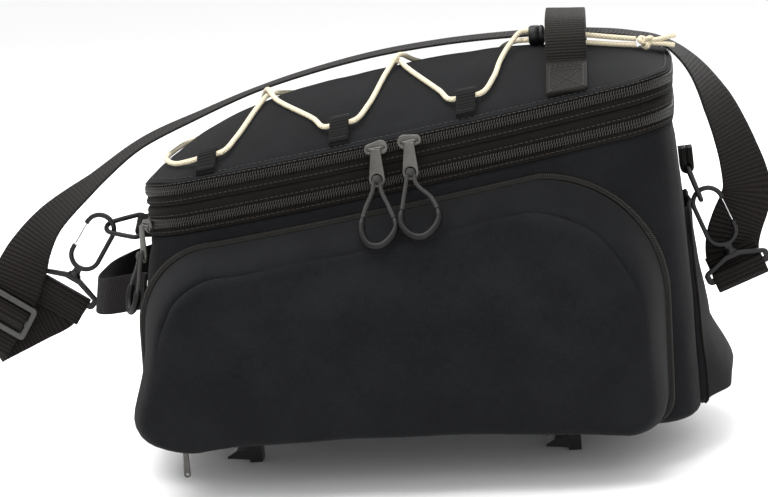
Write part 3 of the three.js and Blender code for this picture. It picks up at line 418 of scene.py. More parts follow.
def end_face(side, y, z):
    """The same for an end: side is 1 at the high end and -1 at the low end."""
    x = rim_centre + side * rim_length / 2
    centre, half_length, half_depth, _ = body_plan(max(0.0, (z - base_height) / (rim_top(x) - base_height)))
    return centre + side * (half_length + 4 * (1 - (y / half_depth) ** 2))


def relief(made, amount):
    """Moves each point along its normal by amount(point), in millimetres."""
    mesh = made.data
    normals = [v.normal.copy() for v in mesh.vertices]
    for vertex, normal in zip(mesh.vertices, normals):
        vertex.co += normal * amount(vertex.co / MM) * MM
    mesh.update()


def backed(made, thickness):
    """Gives a cloth skin its thickness, inwards."""
    thick = made.modifiers.new("cloth", "SOLIDIFY")
    thick.thickness = thickness * MM
    thick.offset = -1
    return made


def slack(p, size, seed=0.0):
    """Soft hollows and swells of loose cloth, from -1 to 1, of about the given size."""
    return noise.noise(p / size + Vector((seed, seed * 2.3, seed * 5.1)))


def groove(distance, width):
    return math.exp(-(distance / width) ** 2)


rows = [body_row(0, inset) for inset in (60, 48, 36, 24, 15)]
rows += [body_row(0, 10 * (1 - math.sin(a)), 10 * (1 - math.cos(a))) for a in (0.0, 0.3, 0.6, 0.9, 1.2)]
rows += [body_row(0.075 + 0.925 * i / 38) for i in range(39)]
points, faces, uvs = net(rows)
n = len(rows[0])
faces.append(tuple(range(n - 1, -1, -1)))
uvs.append(tuple((rows[0][j].x, rows[0][j].y) for j in range(n - 1, -1, -1)))
compartment = piece("compartment", points, faces, shell_cloth, ["main_compartment"], "shell", uvs=uvs)


def compartment_relief(p):
    share = max(0.0, (p.z - base_height) / (rim_top(p.x) - base_height))
    centre, half_length, half_depth, radius = body_plan(min(1.0, share))
    bend = radius * (1 - math.sqrt(0.5))
    seam = math.hypot(abs(p.x - centre) - (half_length - bend), abs(p.y) - (half_depth - bend))
    amount = 0.7 * slack(p, 46, 1.0) + 0.35 * slack(Vector((p.x * 0.4, p.y, p.z)), 13, 2.0)
    amount += 0.9 * groove(seam - 4.5, 3.2) - 1.5 * groove(seam, 1.3)
    amount -= 0.8 * groove(rim_top(p.x) - 7 - p.z, 4)
    hem = min(1.0, max(0.0, rim_top(p.x) - p.z) / 6) * min(1.0, max(0.0, p.z - base_height - 0.5) / 8)
    return amount * hem


relief(compartment, compartment_relief)
backed(compartment, 2.2)


# Zip gusset
# The strip of zip tape between compartment and lid: two coil zips one above the other, the upper one to open
# the lid and the lower one to expand the bag, with the cloth between them folded into a crease.
def rim_ring(section, arcs=9, sides=(30, 18)):
    """Rows that follow the top of the bag, from a list of outward and upward steps from the seam."""
    centre, half_length, half_depth, radius = body_plan(1)
    return [[Vector((x, y, rim_top(x) + up))
             for x, y in plan_loop(centre, half_length + out, half_depth + out, radius + out, 1, arcs, sides)]
            for out, up in section]


tape_cloth = woven("zip_tape", (0.0014, 0.0011, 0.0009), (0.0115, 0.0096, 0.0078), 0.7, 0.8, 0.03)
gusset_section = spline([(-2.4, 0.35, 0), (-0.6, 0.35, 0), (0.9, 1.0, 0), (1.1, 2.6, 0), (0.35, 4.2, 0),
                         (0.15, 8, 0), (0.3, 12.6, 0), (0.85, 15.5, 0), (0.9, 18.2, 0), (-1.7, 19.9, 0),
                         (1.0, 21.6, 0), (1.0, 24, 0),
                         (0.25, 26.6, 0), (0.15, 30, 0), (0.3, 33.9, 0), (0.9, 34.7, 0), (-0.4, 35.2, 0),
                         (-2.4, 35.2, 0)], 64)
rows = rim_ring([(p.x, p.y) for p in gusset_section])
points, faces, uvs = net(rows, ring=True)
gusset = piece("zip_gusset", points, faces, tape_cloth, ["zip_band"], "zip_tape", uvs=uvs)
relief(gusset, lambda p: 0.22 * slack(p, 17, 4.0))

coil_nylon = plain("coil_nylon", [420], (0.004, 0.0036, 0.0031), (0.014, 0.0125, 0.0105), Roughness=0.34,
                   Specular_IOR_Level=0.4)
coil_nylon.raised(coil_nylon.grain(2600), 0.04)


coil_turn = ((-0.12, 0.0, 0.8), (0.3, 0.05, 1.0), (0.72, 0.2, 0.85), (1.0, 0.42, 0.3))


def coil(name, path, half_width, height, pitch, stands_for, slot="zip_tape"):
    """A closed coil zip along a path of (place, outward, across): two rows of slanting, rounded turns of
    nylon that mesh in the middle, each held down at its outer end."""
    section = [(-0.5, 0.0), (-0.46, 0.55), (-0.22, 1.0), (0.22, 1.0), (0.46, 0.55), (0.5, 0.0)]
    line = [p for p, _, _ in path]
    total = run_length(line)
    count = int(total / pitch)
    spots = even(line, count)
    k = 0
    points, faces = [], []
    marks = [0.0]
    for p, q in zip(line, line[1:]):
        marks.append(marks[-1] + (q - p).length)
    for i, spot in enumerate(spots[:-1]):
        reach = total * i / (count - 1)
        while k < len(line) - 2 and marks[k + 1] < reach:
            k += 1
        t = (reach - marks[k]) / max(marks[k + 1] - marks[k], 1e-6)
        outward = path[k][1].lerp(path[k + 1][1], t).normalized()
        across = path[k][2].lerp(path[k + 1][2], t).normalized()
        forward = across.cross(outward).normalized()
        for side in (-1, 1):
            heart = spot + forward * (pitch * 0.25 * side)
            start = len(points)
            for inner, rest, lift in coil_turn:
                centre = heart + across * (side * inner * half_width) + forward * (side * rest * pitch)
                points += [centre + forward * (a * pitch * 0.66) + outward * (0.25 + b * height * lift)
                           for a, b in section]
            for row in range(3):
                for j in range(5):
                    a = start + row * 6 + j
                    faces.append((a, a + 1, a + 7, a + 6) if side > 0 else (a, a + 6, a + 7, a + 1))
            faces.append(tuple(start + j for j in (range(5, -1, -1) if side > 0 else range(6))))
            faces.append(tuple(start + 18 + j for j in (range(6) if side > 0 else range(5, -1, -1))))
    return piece(name, points, faces, coil_nylon, [stands_for], slot)


def rim_path(up, out=0.2):
    """The path of a zip round the bag's top: places, outward and upward directions."""
    line = rim_ring([(out, up)], 20, (60, 36))[0]
    path = []
    for i in range(len(line) + 1):
        p = line[i % len(line)]
        forward = line[(i + 1) % len(line)] - line[i - 1]
        path.append((p, Vector((forward.y, -forward.x, 0)).normalized(), Vector((0, 0, 1))))
    return path


for level_name, up in (("lower", 8.4), ("upper", 30.2)):
    coil(f"coil_{level_name}", rim_path(up), 3.4, 1.5, 1.75, f"zip_chain_{level_name}")

stitch_thread = plain("stitch_thread", [700], (0.005, 0.0045, 0.004), (0.016, 0.0145, 0.013), Roughness=0.6)


thread_lift = 0.15


def stitches(name, lines, outward, length, skip, radius, slot="shell"):
    """A run of lockstitches, each one a short raised thread, along lines of points."""
    points, faces = [], []
    for line in lines:
        count = max(2, int(run_length(line) / (length + skip)) + 1)
        spots = even(line, count)
        for p, q in zip(spots, spots[1:]):
            forward = (q - p).normalized()
            up = outward(p) if callable(outward) else outward
            side = forward.cross(up).normalized()
            start = len(points)
            for place, size in ((0.0, 0.3), (0.14, 1.0), (0.86, 1.0), (1.0, 0.3)):
                heart = p.lerp(q, place * length / (length + skip)) + up * (thread_lift * size)
                points += [heart + radius * size * (side * math.cos(a) + up * math.sin(a))
                           for a in (0, math.pi / 3, 2 * math.pi / 3, math.pi, 1.5 * math.pi)]
            for row in range(3):
                for j in range(5):
                    a, b = start + row * 5 + j, start + row * 5 + (j + 1) % 5
                    faces.append((a, b, b + 5, a + 5))
    return piece(name, points, faces, stitch_thread, slot=slot)


def flat_outward(p):
    return Vector((p.x - rim_centre, p.y * 1.6, 0)).normalized()


hems = [rim_ring([(1.15, up)], 12, (50, 30))[0] for up in (3.1, 13.9, 23.4, 34.6)]
stitches("gusset_stitching", [hem + [hem[0]] for hem in hems], flat_outward, 2.4, 1.0, 0.26, slot="zip_tape")


# Lid
# The domed top: one padded panel of the same cloth, higher along its middle, sewn to the upper zip all round.
def lid_top(x, y):
    """The height of the lid's upper surface above the rack at (x, y)."""
    place = (x - rim_centre) / (rim_length / 2)
    half_depth = rim_depth / 2 + 3 * max(0.0, 1 - place ** 2)
    along = min(1.0, abs(x - rim_centre) / (rim_length / 2 + 4))
    across = min(1.0, abs(y) / half_depth)
    crown = (1 - across ** 1.5) * (1 - along ** (3.6 if place < 0 else 2.2))
    return rim_top(x) + 35.5 + 37 * crown


def lid_row(share):
    half_depth = rim_depth / 2 * share
    half_length = rim_length / 2 - 0.8 * rim_depth / 2 * (1 - share)
    return [Vector((x, y, lid_top(x, y)))
            for x, y in plan_loop(rim_centre, half_length, half_depth, corner_radius, share ** 2)]


rows = [lid_row(share) for share in [1, 0.992, 0.98, 0.965] + [0.95 - 0.93 * i / 30 for i in range(31)]]
points, faces, uvs = net(rows)
faces.append(tuple(len(points) - n + j for j in range(n)))
uvs.append(tuple((points[-n + j].x, points[-n + j].y) for j in range(n)))
lid_panel = piece("lid_panel", points, faces, shell_cloth, ["lid"], "shell", uvs=uvs)


def lid_relief(p):
    reach = (rim_depth / 2 + 3 - abs(p.y), rim_length / 2 + 4 - abs(p.x - rim_centre))
    edge = min(1.0, max(0.0, min(reach)) / 14)
    loose = 0.9 * slack(p, 60, 6.0) + 0.45 * slack(Vector((p.x, p.y * 0.5, 0)), 19, 7.0)
    return edge * loose - 0.5 * groove(min(reach) - 5, 2)


relief(lid_panel, lid_relief)
backed(lid_panel, 2.0)
hem = [p + Vector((0, 0, 0.2)) for p in lid_row(0.965)]
stitches("lid_stitching", [hem + [hem[0]]], Vector((0, 0, 1)), 2.8, 1.1, 0.28)


# Pannier pockets
# One on each long side: a flat front panel and a bent gusset of the same cloth, turned to a soft edge where
# they meet, closed by a coil zip that runs up one end, over the top and down the other.
pocket_left, pocket_right = -163, 177
pocket_low_corner, pocket_high_corner = 50, 78
front_inset = 30
heart_low, heart_high = (-86, 82), (94, 96)
crease_inset, roll_inset = 15.4, 19


def arc(cx, cy, radius, start, end, steps=10):
    angles = [mixed(start, end, i / steps) for i in range(steps + 1)]
    return [(cx + radius * math.cos(a), cy + radius * math.sin(a)) for a in angles]


def pocket_outline(inset=0.0):
    """The pocket's outline on the bag's side, as (x, z): up the low end, over the top and back below."""
    left, right_end = pocket_left + inset, pocket_right - inset
    middle = (left + right_end) / 2

    def floor_at(x):
        belly = 8 * (1 - ((x - middle) / (right_end - middle)) ** 2)
        return base_height + 4 + min(inset, inset * 0.3) + belly

    def top_at(x):
        return rim_top(x) - 13.5 - inset

    def quarter(cx, cz, radius, start, steps):
        return arc(cx, cz, radius, start, start - math.pi / 2, steps)

    low_foot, high_foot = 36 - inset / 2, 18 - inset / 4
    low_corner, high_corner = pocket_low_corner - inset / 2, pocket_high_corner - inset / 2
    low_x, high_x = left + low_corner, right_end - high_corner
    low_floor, high_floor = floor_at(left + low_foot), floor_at(right_end - high_foot)
    left_low, left_high = low_floor + low_foot, top_at(low_x) - low_corner
    right_high, right_low = top_at(high_x) - high_corner, high_floor + high_foot
    outline = [(left, mixed(left_low, left_high, i / 6)) for i in range(1, 6)]
    outline += quarter(low_x, left_high, low_corner, math.pi, 12)
    outline += [(mixed(low_x, high_x, i / 30), top_at(mixed(low_x, high_x, i / 30))) for i in range(1, 30)]
    outline += quarter(high_x, right_high, high_corner, math.pi / 2, 16)
    outline += [(right_end, mixed(right_high, right_low, i / 8)) for i in range(1, 8)]
    outline += quarter(right_end - high_foot, right_low, high_foot, 0, 8)
    along_foot = [mixed(right_end - high_foot, left + low_foot, i / 40) for i in range(1, 40)]
    outline += [(x, floor_at(x)) for x in along_foot]
    outline += quarter(left + low_foot, left_low, low_foot, -math.pi / 2, 10)
    return outline


def pocket_depth(z):
    share = min(1.0, max(0.0, (z - base_height) / 151.2))
    return mixed(43, 19, share ** 1.3) + 9 * math.sin(math.pi * share)


def pocket_ring(inset, share=0.0):
    """The pocket's outline taken in by inset, or closed by a share from there onto its own middle line."""
    ring = []
    for x, z in pocket_outline(inset):
        along = min(1.0, max(0.0, (x - heart_low[0]) / (heart_high[0] - heart_low[0])))
        along = round(along * 20) / 20 if share == 1 else along
        x = mixed(x, mixed(heart_low[0], heart_high[0], along), share)
        z = mixed(z, mixed(heart_low[1], heart_high[1], along), share)
        swing = math.exp(-((z - 44) / 30) ** 2) * min(1.0, max(0.0, inset - 0.8) / 5) * (1 - share) ** 2
        corner = swing * min(1.0, max(0.0, (-100 - x) / 50))
        ring.append((x + swing * (-8 if x < 7 else 3) * min(1.0, abs(x - 7) / 120) - 6 * corner,
                     z - 2.2 * swing - 7 * corner, inset + 42 * share))
    return ring


pocket_rise = [(0, 0.0), (1.2, 0.16), (3, 0.36), (6, 0.62), (9, 0.8), (12.5, 0.94), (15, 0.99), (16.5, 1.005),
               (19, 1.02), (30, 1.045), (48, 1.07)]


def pocket_share(inset):
    """How much of its full depth the pocket has reached, the given distance in from its edge."""
    for (a, low), (b, high) in zip(pocket_rise, pocket_rise[1:]):
        if inset <= b:
            return mixed(low, high, (inset - a) / (b - a))
    return pocket_rise[-1][1]


def facing(side, points, faces, uvs):
    """Turns the faces over on the far side, so that they look outwards there too."""
    if side < 0:
        return points, faces, uvs
    return points, [tuple(reversed(face)) for face in faces], [tuple(reversed(uv)) for uv in uvs]


gusset_insets = [0, 0.6, 1.4, 2.4, 3.6, 5, 6.5, 8, 9.5, 11, 12.5, 13.8, 14.9, 15.7]
front_insets = [16.4, 17.1, 18, 19.2, 21, 23.5, 26.5, front_inset]
pocket_rings = [pocket_ring(inset) for inset in gusset_insets + front_insets]
pocket_rings += [pocket_ring(front_inset, k / 17) for k in range(1, 18)]
zipped = 92  # points of the outline that the zip follows, from the low end
for side_name, side in (("near", -1), ("far", 1)):
    rows = []
    for ring in pocket_rings:
        row = []
        for x, z, inset in ring:
            out = pocket_share(inset) * pocket_depth(z)
            low = groove(math.hypot(x + 132, z - 122), 40)
            high = groove(math.hypot(x - 138, z - 150), 46)
            upper = min(1.0, max(0.0, (z - 70) / 40))
            wander = slack(Vector((x, z, 0)), 26, 3.0)
            crease = groove(inset - crease_inset - 1.2 * wander, 1.2) * upper
            crease *= 0.7 + 1.9 * low + 1.7 * high + 0.5 * wander
            roll = groove(inset - roll_inset, 2.8) * upper * (0.5 + 0.9 * low + 0.9 * high)
            loose = min(1.0, inset / 18)
            swell = loose * (3.0 * slack(Vector((x * 0.75, z, 9.0 * side)), 44, 1.5)
                             + 1.7 * slack(Vector((x + z * 0.8, z - x * 0.3, 4.0 * side)), 17, 2.5)
                             + 0.7 * slack(Vector((x * 0.3, z, 0)), 8, 3.5) * groove(inset - 9, 8))
            foot = 1.3 * loose * math.sin(x / 13 + 1.3) * groove(z - 24, 14)
            out = max(0.0, out - crease + roll + swell + foot)
            row.append(Vector((x, side * (side_face(x, z) + gap + out), z)))
        rows.append(row)
    points, faces, uvs = net(rows)
    gusset_faces = len(rows[0]) * (len(gusset_insets) - 1)
    uvs[gusset_faces:] = [tuple((points[v].x, points[v].z) for v in face) for face in faces[gusset_faces:]]
    points, faces, uvs = facing(side, points, faces, uvs)
    pocket = piece(f"pocket_{side_name}", points, faces, shell_cloth, [f"side_pocket_{side_name}"], "shell",
                   uvs=uvs)
    pocket.modifiers.new("closed_middle", "WELD").merge_threshold = 0.01 * MM
    backed(pocket, 1.8)

    strip_rows = []
    for inset in (1.0, 2.2, 3.4, 4.6, 5.6):
        row = []
        for x, z, _ in pocket_ring(inset):
            out = pocket_share(inset) * pocket_depth(z) + 0.35
            row.append(Vector((x, side * (side_face(x, z) + gap + out), z)))
        strip_rows.append(row)
    points, faces, uvs = facing(side, *net([row[:zipped] for row in strip_rows], around=False))
    piece(f"pocket_tape_{side_name}", points, faces, tape_cloth, slot="zip_tape", uvs=uvs)
    seam = [row_end + Vector((0, side * 0.5, 0)) for row_end in strip_rows[3][:zipped]]
    stitches(f"pocket_stitching_{side_name}", [seam], Vector((0, side * 0.85, 0.5)), 2.9, 1.4, 0.34)

    outline = pocket_outline(-3.05)
    route = outline[-11:] + outline[:zipped]
    outward = Vector((0, side, 0))
    path = []
    for i, (x, z) in enumerate(route):
        before, after = route[max(0, i - 1)], route[min(len(route) - 1, i + 1)]
        along = Vector((after[0] - before[0], 0, after[1] - before[1])).normalized()
        path.append((Vector((x, side * (side_face(x, z) + gap), z)), outward, along.cross(outward)))
    coil(f"pocket_coil_{side_name}", path, 2.3, 1.2, 1.35, f"pocket_zip_{side_name}")
    backing = [[p + across * (0.98 * a) + out * (0.15 + 0.25 * (1 - abs(a) / 2.6))
                for a in (-2.6, -1.3, 0, 1.3, 2.6)] for p, out, across in path]
    points, faces, uvs = net(backing, around=False)
    piece(f"pocket_coil_tape_{side_name}", points, faces, tape_cloth, slot="zip_tape", uvs=uvs)


# End pouch
# A flat pocket on the high end that flares towards its foot: a single panel with its edge bound in tape.
pouch_height, pouch_half, pouch_reach = 128, 74, 27
pouch_levels = [(0, 0.94, 0.1), (0.03, 1, 0.72), (0.1, 1, 0.8), (0.4, 0.94, 0.28), (0.7, 0.82, 0.12),
                (0.93, 0.62, 0.08), (1, 0.5, 0.06)]


def pouch_level(up):
    """The pouch's width and reach, as shares of its full ones, at a share of its height."""
    for low, high in zip(pouch_levels, pouch_levels[1:]):
        if up <= high[0]:
            t = (up - low[0]) / (high[0] - low[0])
            smooth_t = t * t * (3 - 2 * t) if low[0] >= 0.1 else t
            return mixed(low[1], high[1], smooth_t), mixed(low[2], high[2], smooth_t)
    return pouch_levels[-1][1:]


rows = []
for up in [0, 0.01, 0.02, 0.03, 0.045, 0.07, 0.1] + [0.1 + 0.9 * i / 26 for i in range(1, 27)]:
    width, reach = pouch_level(up)
    row = []
    for i in range(41):
        share = -1 + i / 20
        z = base_height + 6 + up * pouch_height
        y = share * pouch_half * width
        bulge = pouch_reach * reach * (1 - abs(share) ** 2.4) + (wall if i not in (0, 40) else 0)
        ripple = 1.1 * slack(Vector((0, y, z)), 24, 5.0) + 1.6 * math.sin(y / 9) * groove(up, 0.14)
        out = max(0.0, bulge + ripple * (1 - abs(share) ** 6))
        row.append(Vector((end_face(1, y, z) + gap + out, y, z)))
    rows.append(row)
points, faces, uvs = net(rows, around=False)
pouch = piece("end_pouch_panel", points, faces, shell_cloth, ["end_pouch"], "shell", uvs=uvs)
backed(pouch, 1.6)
bound = [row[1] for row in rows] + [rows[-1][i] for i in range(2, 39)] + [row[39] for row in reversed(rows)]
rope("end_pouch_binding", spline(bound[::3], 150), 1.1, tape_cloth, sides=8, slot="zip_tape")


# Rack adapter
# A moulded plate under the floor with a flat rail and four hooks that grip the rack. It is one colour of
# matt black plastic with a fine spark-eroded grain, and its solids show as they are.
plastic = plain("grained_plastic", [90, 4.0], (0.0015, 0.0015, 0.0016), (0.0045, 0.0045, 0.0047),
                Specular_IOR_Level=0.28)
plastic.paint(Roughness=plastic.grain(300) * 0.2 + 0.34)
plastic.raised(plastic.grain(1800, 3.0), 0.06)
rack_hooks = [f"rack_hook_{end}_{side_name}" for end in ("low", "high") for side_name in ("near", "far")]
for node in ["adapter_plate", "adapter_rail", *rack_hooks]:
    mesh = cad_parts[node].data
    mesh.materials.clear()
    mesh.materials.append(plastic.material)


# Cord tabs
# Six short loops of narrow webbing sewn down along the lid's edges. The laced cord runs through their folds.
webbing_thickness = 1.6


def ribbed(name, dark, light, pitch, roughness=0.72, cross=0.0, depth=0.4):
    """Webbing with raised ribs across its run, and finer yarns between its edges."""
    finish = Finish(name, Roughness=roughness, Sheen_Weight=0.03, Sheen_Roughness=0.45,
                    Specular_IOR_Level=0.1)
    across, along = finish.cloth()
    skew = along + across.math("PINGPONG", across, 1.1 * MM) * 0.35
    rib = (skew * (1 / (pitch * MM))).wave()
    yarn = (across * (1 / (1.1 * MM))).wave()
    fibre = finish.grain(1.0, 2.0, (1400, 500))
    lit = rib * (0.75 - cross) + yarn * (0.15 + cross) + fibre * 0.35 - 0.1
    finish.paint(Base_Color=finish.blend(lit, dark, light))
    return finish.raised(rib * (1 - cross) + yarn * (0.2 + cross) + fibre * 0.25, depth)


tab_webbing = ribbed("tab_webbing", (0.0008, 0.0008, 0.0008), (0.0085, 0.0080, 0.0077), 2.3, cross=0.4,
                     depth=0.45)
tab_places = (-118, -29, 55)
tab_width, tab_length = 13, 21
cord_radius = 1.75
tab_inner = cord_radius + 5 * gap
tab_seat = rim_depth / 2 - tab_length + webbing_thickness + tab_inner
tab_lift = gap + webbing_thickness + tab_inner
for side_name, side in (("near", -1), ("far", 1)):
    for number, x in enumerate(tab_places):
        edge = rim_depth / 2 - 1.5
        half = (edge + tab_seat) / 2

        def fold(radius, turns=(0, 0.25, 0.5, 0.75, 1, 1.25)):
            return [(tab_seat - radius * math.sin(math.pi * t), tab_lift - radius * math.cos(math.pi * t))
                    for t in turns]

        section = [(edge, gap), (half, gap), *fold(tab_inner + webbing_thickness)]
        section += [(half, gap + 2.6 * webbing_thickness), (edge, 2 * gap + 2 * webbing_thickness)]
        section += [(edge, 2 * gap + webbing_thickness), (half, gap + 1.4 * webbing_thickness)]
        section += [*fold(tab_inner)[::-1], (half, gap + webbing_thickness), (edge, gap + webbing_thickness)]
        rows = []
        for i in range(9):
            share = (i - 4) / 8
            trim = 0.25 if i in (0, 8) else 0.0
            across = x + share * (tab_width - 0.2)
            rows.append([Vector((across, side * place, lid_top(x + share * tab_width, place) + height
                                 + (trim if height < tab_lift else -trim))) for place, height in section])
        points, faces, uvs = net(rows, capped=True)
        turned = [tuple((v, u) for u, v in uv) for uv in uvs]
        piece(f"tab_{side_name}_{number + 1}", points, faces, tab_webbing,
              [f"cord_tab_{side_name}_{number + 1}"], "webbing", uvs=turned)
        sewn = 2 * (gap + webbing_thickness)
        bar = [Vector((x + s * 5.2, side * (edge - 2.5 - 1.2 * k), lid_top(x + s * 5.2, edge - 2.5) + sewn))
               for k in range(3) for s in ((-1, 1) if k % 2 == 0 else (1, -1))]
        stitches(f"tab_tack_{side_name}_{number + 1}", [[bar[0], bar[1]], [bar[2], bar[3]], [bar[4], bar[5]]],
                 Vector((0, 0, 1)), 1.6, 0.5, 0.3, slot="webbing")


# Elastic cord
# One length of pale braided shock cord, laced to and fro over the lid through the tabs. Its two ends pass
# through a spring lock under the handle and are knotted together near the high end.
pale_braid = braided("pale_braided_cord", (0.42, 0.36, 0.235), (0.80, 0.72, 0.54), 0.42, 0.36, 0.7)
touch = cord_radius + gap
over = touch + 2 * cord_radius + gap
first, second, third = tab_places
seat, in_tab = tab_seat, tab_lift


def in_fold(x, side):
    """The cord's three points in the fold of the tab at x: side is -1 near and 1 far."""
    return [(x + step, side * seat, in_tab) for step in (-10, 0, 10)]


half_1 = [
    (first - 43, 0.2 * seat, touch + 1.4), (first - 36, -0.44 * seat, touch + 1),
    (first - 22, -0.88 * seat, touch + 1), *in_fold(first, -1), (first + 17, -0.76 * seat, touch + 0.6),
    (-91, -0.3 * seat, touch + 0.6), (-86, 0, touch + 0.6), (-78, 0.3 * seat, touch + 0.6),
    (second - 19, 0.8 * seat, touch + 0.8), *in_fold(second, 1), (second + 18, 0.78 * seat, touch + 0.8),
    (0, 0.3 * seat, touch + 0.6), (6, 0, touch + 0.6), (14, -0.3 * seat, touch + 0.6),
    (third - 18, -0.8 * seat, touch + 0.8), *in_fold(third, -1), (third + 18, -0.74 * seat, touch + 1),
    (77, -0.46 * seat, touch + 1), (84, -0.18 * seat, touch + 4),
]
half_2 = [
    (first - 43, 0.24 * seat, touch + 1.4), (first - 36, 0.6 * seat, touch + 1),
    (first - 22, 0.94 * seat, touch + 1), *in_fold(first, 1), (first + 17, 0.76 * seat, touch + 0.6),
    (-93, 0.28 * seat, touch + 0.8), (-86, 0, over + 0.9), (-77, -0.28 * seat, touch + 0.8),
    (second - 19, -0.8 * seat, touch + 0.8), *in_fold(second, -1), (second + 18, -0.78 * seat, touch + 0.8),
    (-1, -0.26 * seat, touch + 0.8), (6, 0, over + 0.9), (15, 0.28 * seat, touch + 0.8),
    (third - 18, 0.8 * seat, touch + 0.8), *in_fold(third, 1), (third + 18, 0.76 * seat, touch + 1),
    (75, 0.44 * seat, touch + 0.8), (84, 0.12 * seat, touch + 0.8),
]
lock_x, lock_y = 101, -5
lock_z = lid_top(lock_x, lock_y) + gap + 7
knot_x = 175
knot_z = lid_top(knot_x - 6.5, lock_y) + gap + 5.5
for number, (half_rows, lift) in enumerate(((half_1, 3), (half_2, -3))):
    line = [Vector((x, y, lid_top(x, y) + height)) for x, y, height in half_rows]
    line += [Vector((lock_x + step, lock_y, lock_z + lift)) for step in (-10, 0, 10)]
    line += [Vector((lock_x + 26, lock_y, lock_z + lift * 0.9 - 3)),
             Vector((lock_x + 48, lock_y, lock_z + lift * 0.8 - 6)),
             Vector((knot_x - 6.8, lock_y, knot_z + lift * 0.7))]
    if number == 1:
        start_x, start_y = first - 43.5, 0.22 * seat
        line[0] = Vector((start_x, start_y, lid_top(start_x, start_y) + touch + 1.4))
    rope(f"shock_cord_{number + 1}", spline(line, 380), cord_radius, pale_braid, sides=14,
         stands_for=[f"elastic_cord_{number + 1}"], slot="elastic")

knot_curve = []
for i in range(90):
    t = 2 * math.pi * i / 90
    knot_curve.append(Vector((knot_x - 0.5 + 2.0 * (math.sin(t) + 1.35 * math.sin(2 * t)),
                              lock_y + 1.9 * math.sin(3 * t),
                              knot_z + 1.75 * (math.cos(t) - 1.35 * math.cos(2 * t)))))
rope("cord_knot_turns", knot_curve, 1.65, pale_braid, sides=12, closed=True, stands_for=["cord_knot"],
     slot="elastic")
for number, (z_1, z_2, reach) in enumerate(((1.2, 3.6, 20), (-1.6, -3.2, 19))):
    tail = spline([(knot_x + 2, lock_y, knot_z + z_1 * 0.6), (knot_x + 8, lock_y - 1, knot_z + z_1),
                   (knot_x + 14, lock_y - 1.5, knot_z + z_2 * 0.7),
                   (knot_x + reach, lock_y - 1.5, knot_z + z_2)], 40)
    rope(f"cord_tail_{number + 1}", tail, lambda t: 1.7 if t < 0.93 else 1.5, pale_braid, sides=12,
         slot="elastic")

lock_profile = [(0.0, -5.5), (2.6, -5.5), (5.6, -5.2), (6.6, -4.2), (6.9, -2.2), (6.9, 1.4), (6.4, 1.7),
                (6.4, 2.2), (6.9, 2.5), (6.7, 4.4), (5.4, 5.3), (2.6, 5.5), (0.0, 5.5)]
rows = []
for r, along in lock_profile:
    r = max(r, 0.02)
    rows.append([Vector((lock_x + along, lock_y + r * math.cos(a), lock_z + r * math.sin(a)))
                 for a in (2 * math.pi * j / 40 for j in range(40))])
points, faces, uvs = net(rows)
piece("cord_lock_barrel", points, faces, plastic, ["cord_lock"], "plastic")


# Carry handle
# A loop of ribbed webbing across the lid, near the high end. Each leg is sewn flat with a crossed box of
# stitches, and at the grip the webbing is folded in on itself, so that it shows two rounded edges.
def ribbon(stations, width, thickness, fine=6, lobes=None):
    """Rows round a strip of webbing with soft edges. A station is its middle, the direction across it and its
    thickness or None. lobes says how much the strip is folded into two rolls there, from 0 to 1."""
    middles = [Vector(s[0]) for s in stations]
    steps = (len(stations) - 1) * fine
    curve = smooth_curve(middles, fine)
    places = (-1, -0.985, -0.94, -0.75, -0.5, -0.25, 0, 0.25, 0.5, 0.75, 0.94, 0.985, 1)
    rounded = (0.3, 0.72, 1, 1, 1, 1, 1, 1, 1, 1, 1, 0.72, 0.3)
    rows, frames = [], []
    for i, p in enumerate(curve):
        k = min(len(stations) - 2, i // fine)
        t = i / fine - k
        forward = (curve[min(i + 1, steps)] - curve[max(i - 1, 0)]).normalized()
        across = Vector(stations[k][1]).lerp(Vector(stations[k + 1][1]), t)
        across = (across - forward * across.dot(forward)).normalized()
        face = forward.cross(across)
        thick = mixed(stations[k][2] or thickness, stations[k + 1][2] or thickness, t) / 2
        fold = lobes(i / steps) if lobes else 0.0
        profile = [mixed(r, 0.35 + 0.65 * math.sqrt(max(0.0, 1 - ((abs(a) - 0.5) / 0.5) ** 2)), fold)
                   for a, r in zip(places, rounded)]
        top = [p + across * (a * width / 2) + face * (thick * r) for a, r in zip(places, profile)]
        bottom = [p + across * (a * width / 2) - face * (thick * mixed(r, 1 if 0 < j < 12 else r, fold * 0.6))
                  for j, (a, r) in enumerate(zip(places, rounded))]
        rows.append(bottom + top[::-1])
        frames.append((p, forward, across, face, thick))
    return rows, frames


def strip(name, stations, width, thickness, finish, fine=6, lobes=None, **how):
    rows, frames = ribbon(stations, width, thickness, fine, lobes)
    points, faces, uvs = net(rows, capped=True)
    count = len(rows[0])
    for face_number, uv in enumerate(uvs[:(len(rows) - 1) * count]):
        j = face_number % count
        fixed = []
        for corner, (u, v) in enumerate(uv):
            column = j + (1 if corner in (1, 2) else 0)
            column = column if column <= 12 else 25 - column
            fixed.append((column / 12 * width - width / 2, v))
        uvs[face_number] = tuple(fixed)
    return piece(name, points, faces, finish, uvs=uvs, **how), frames


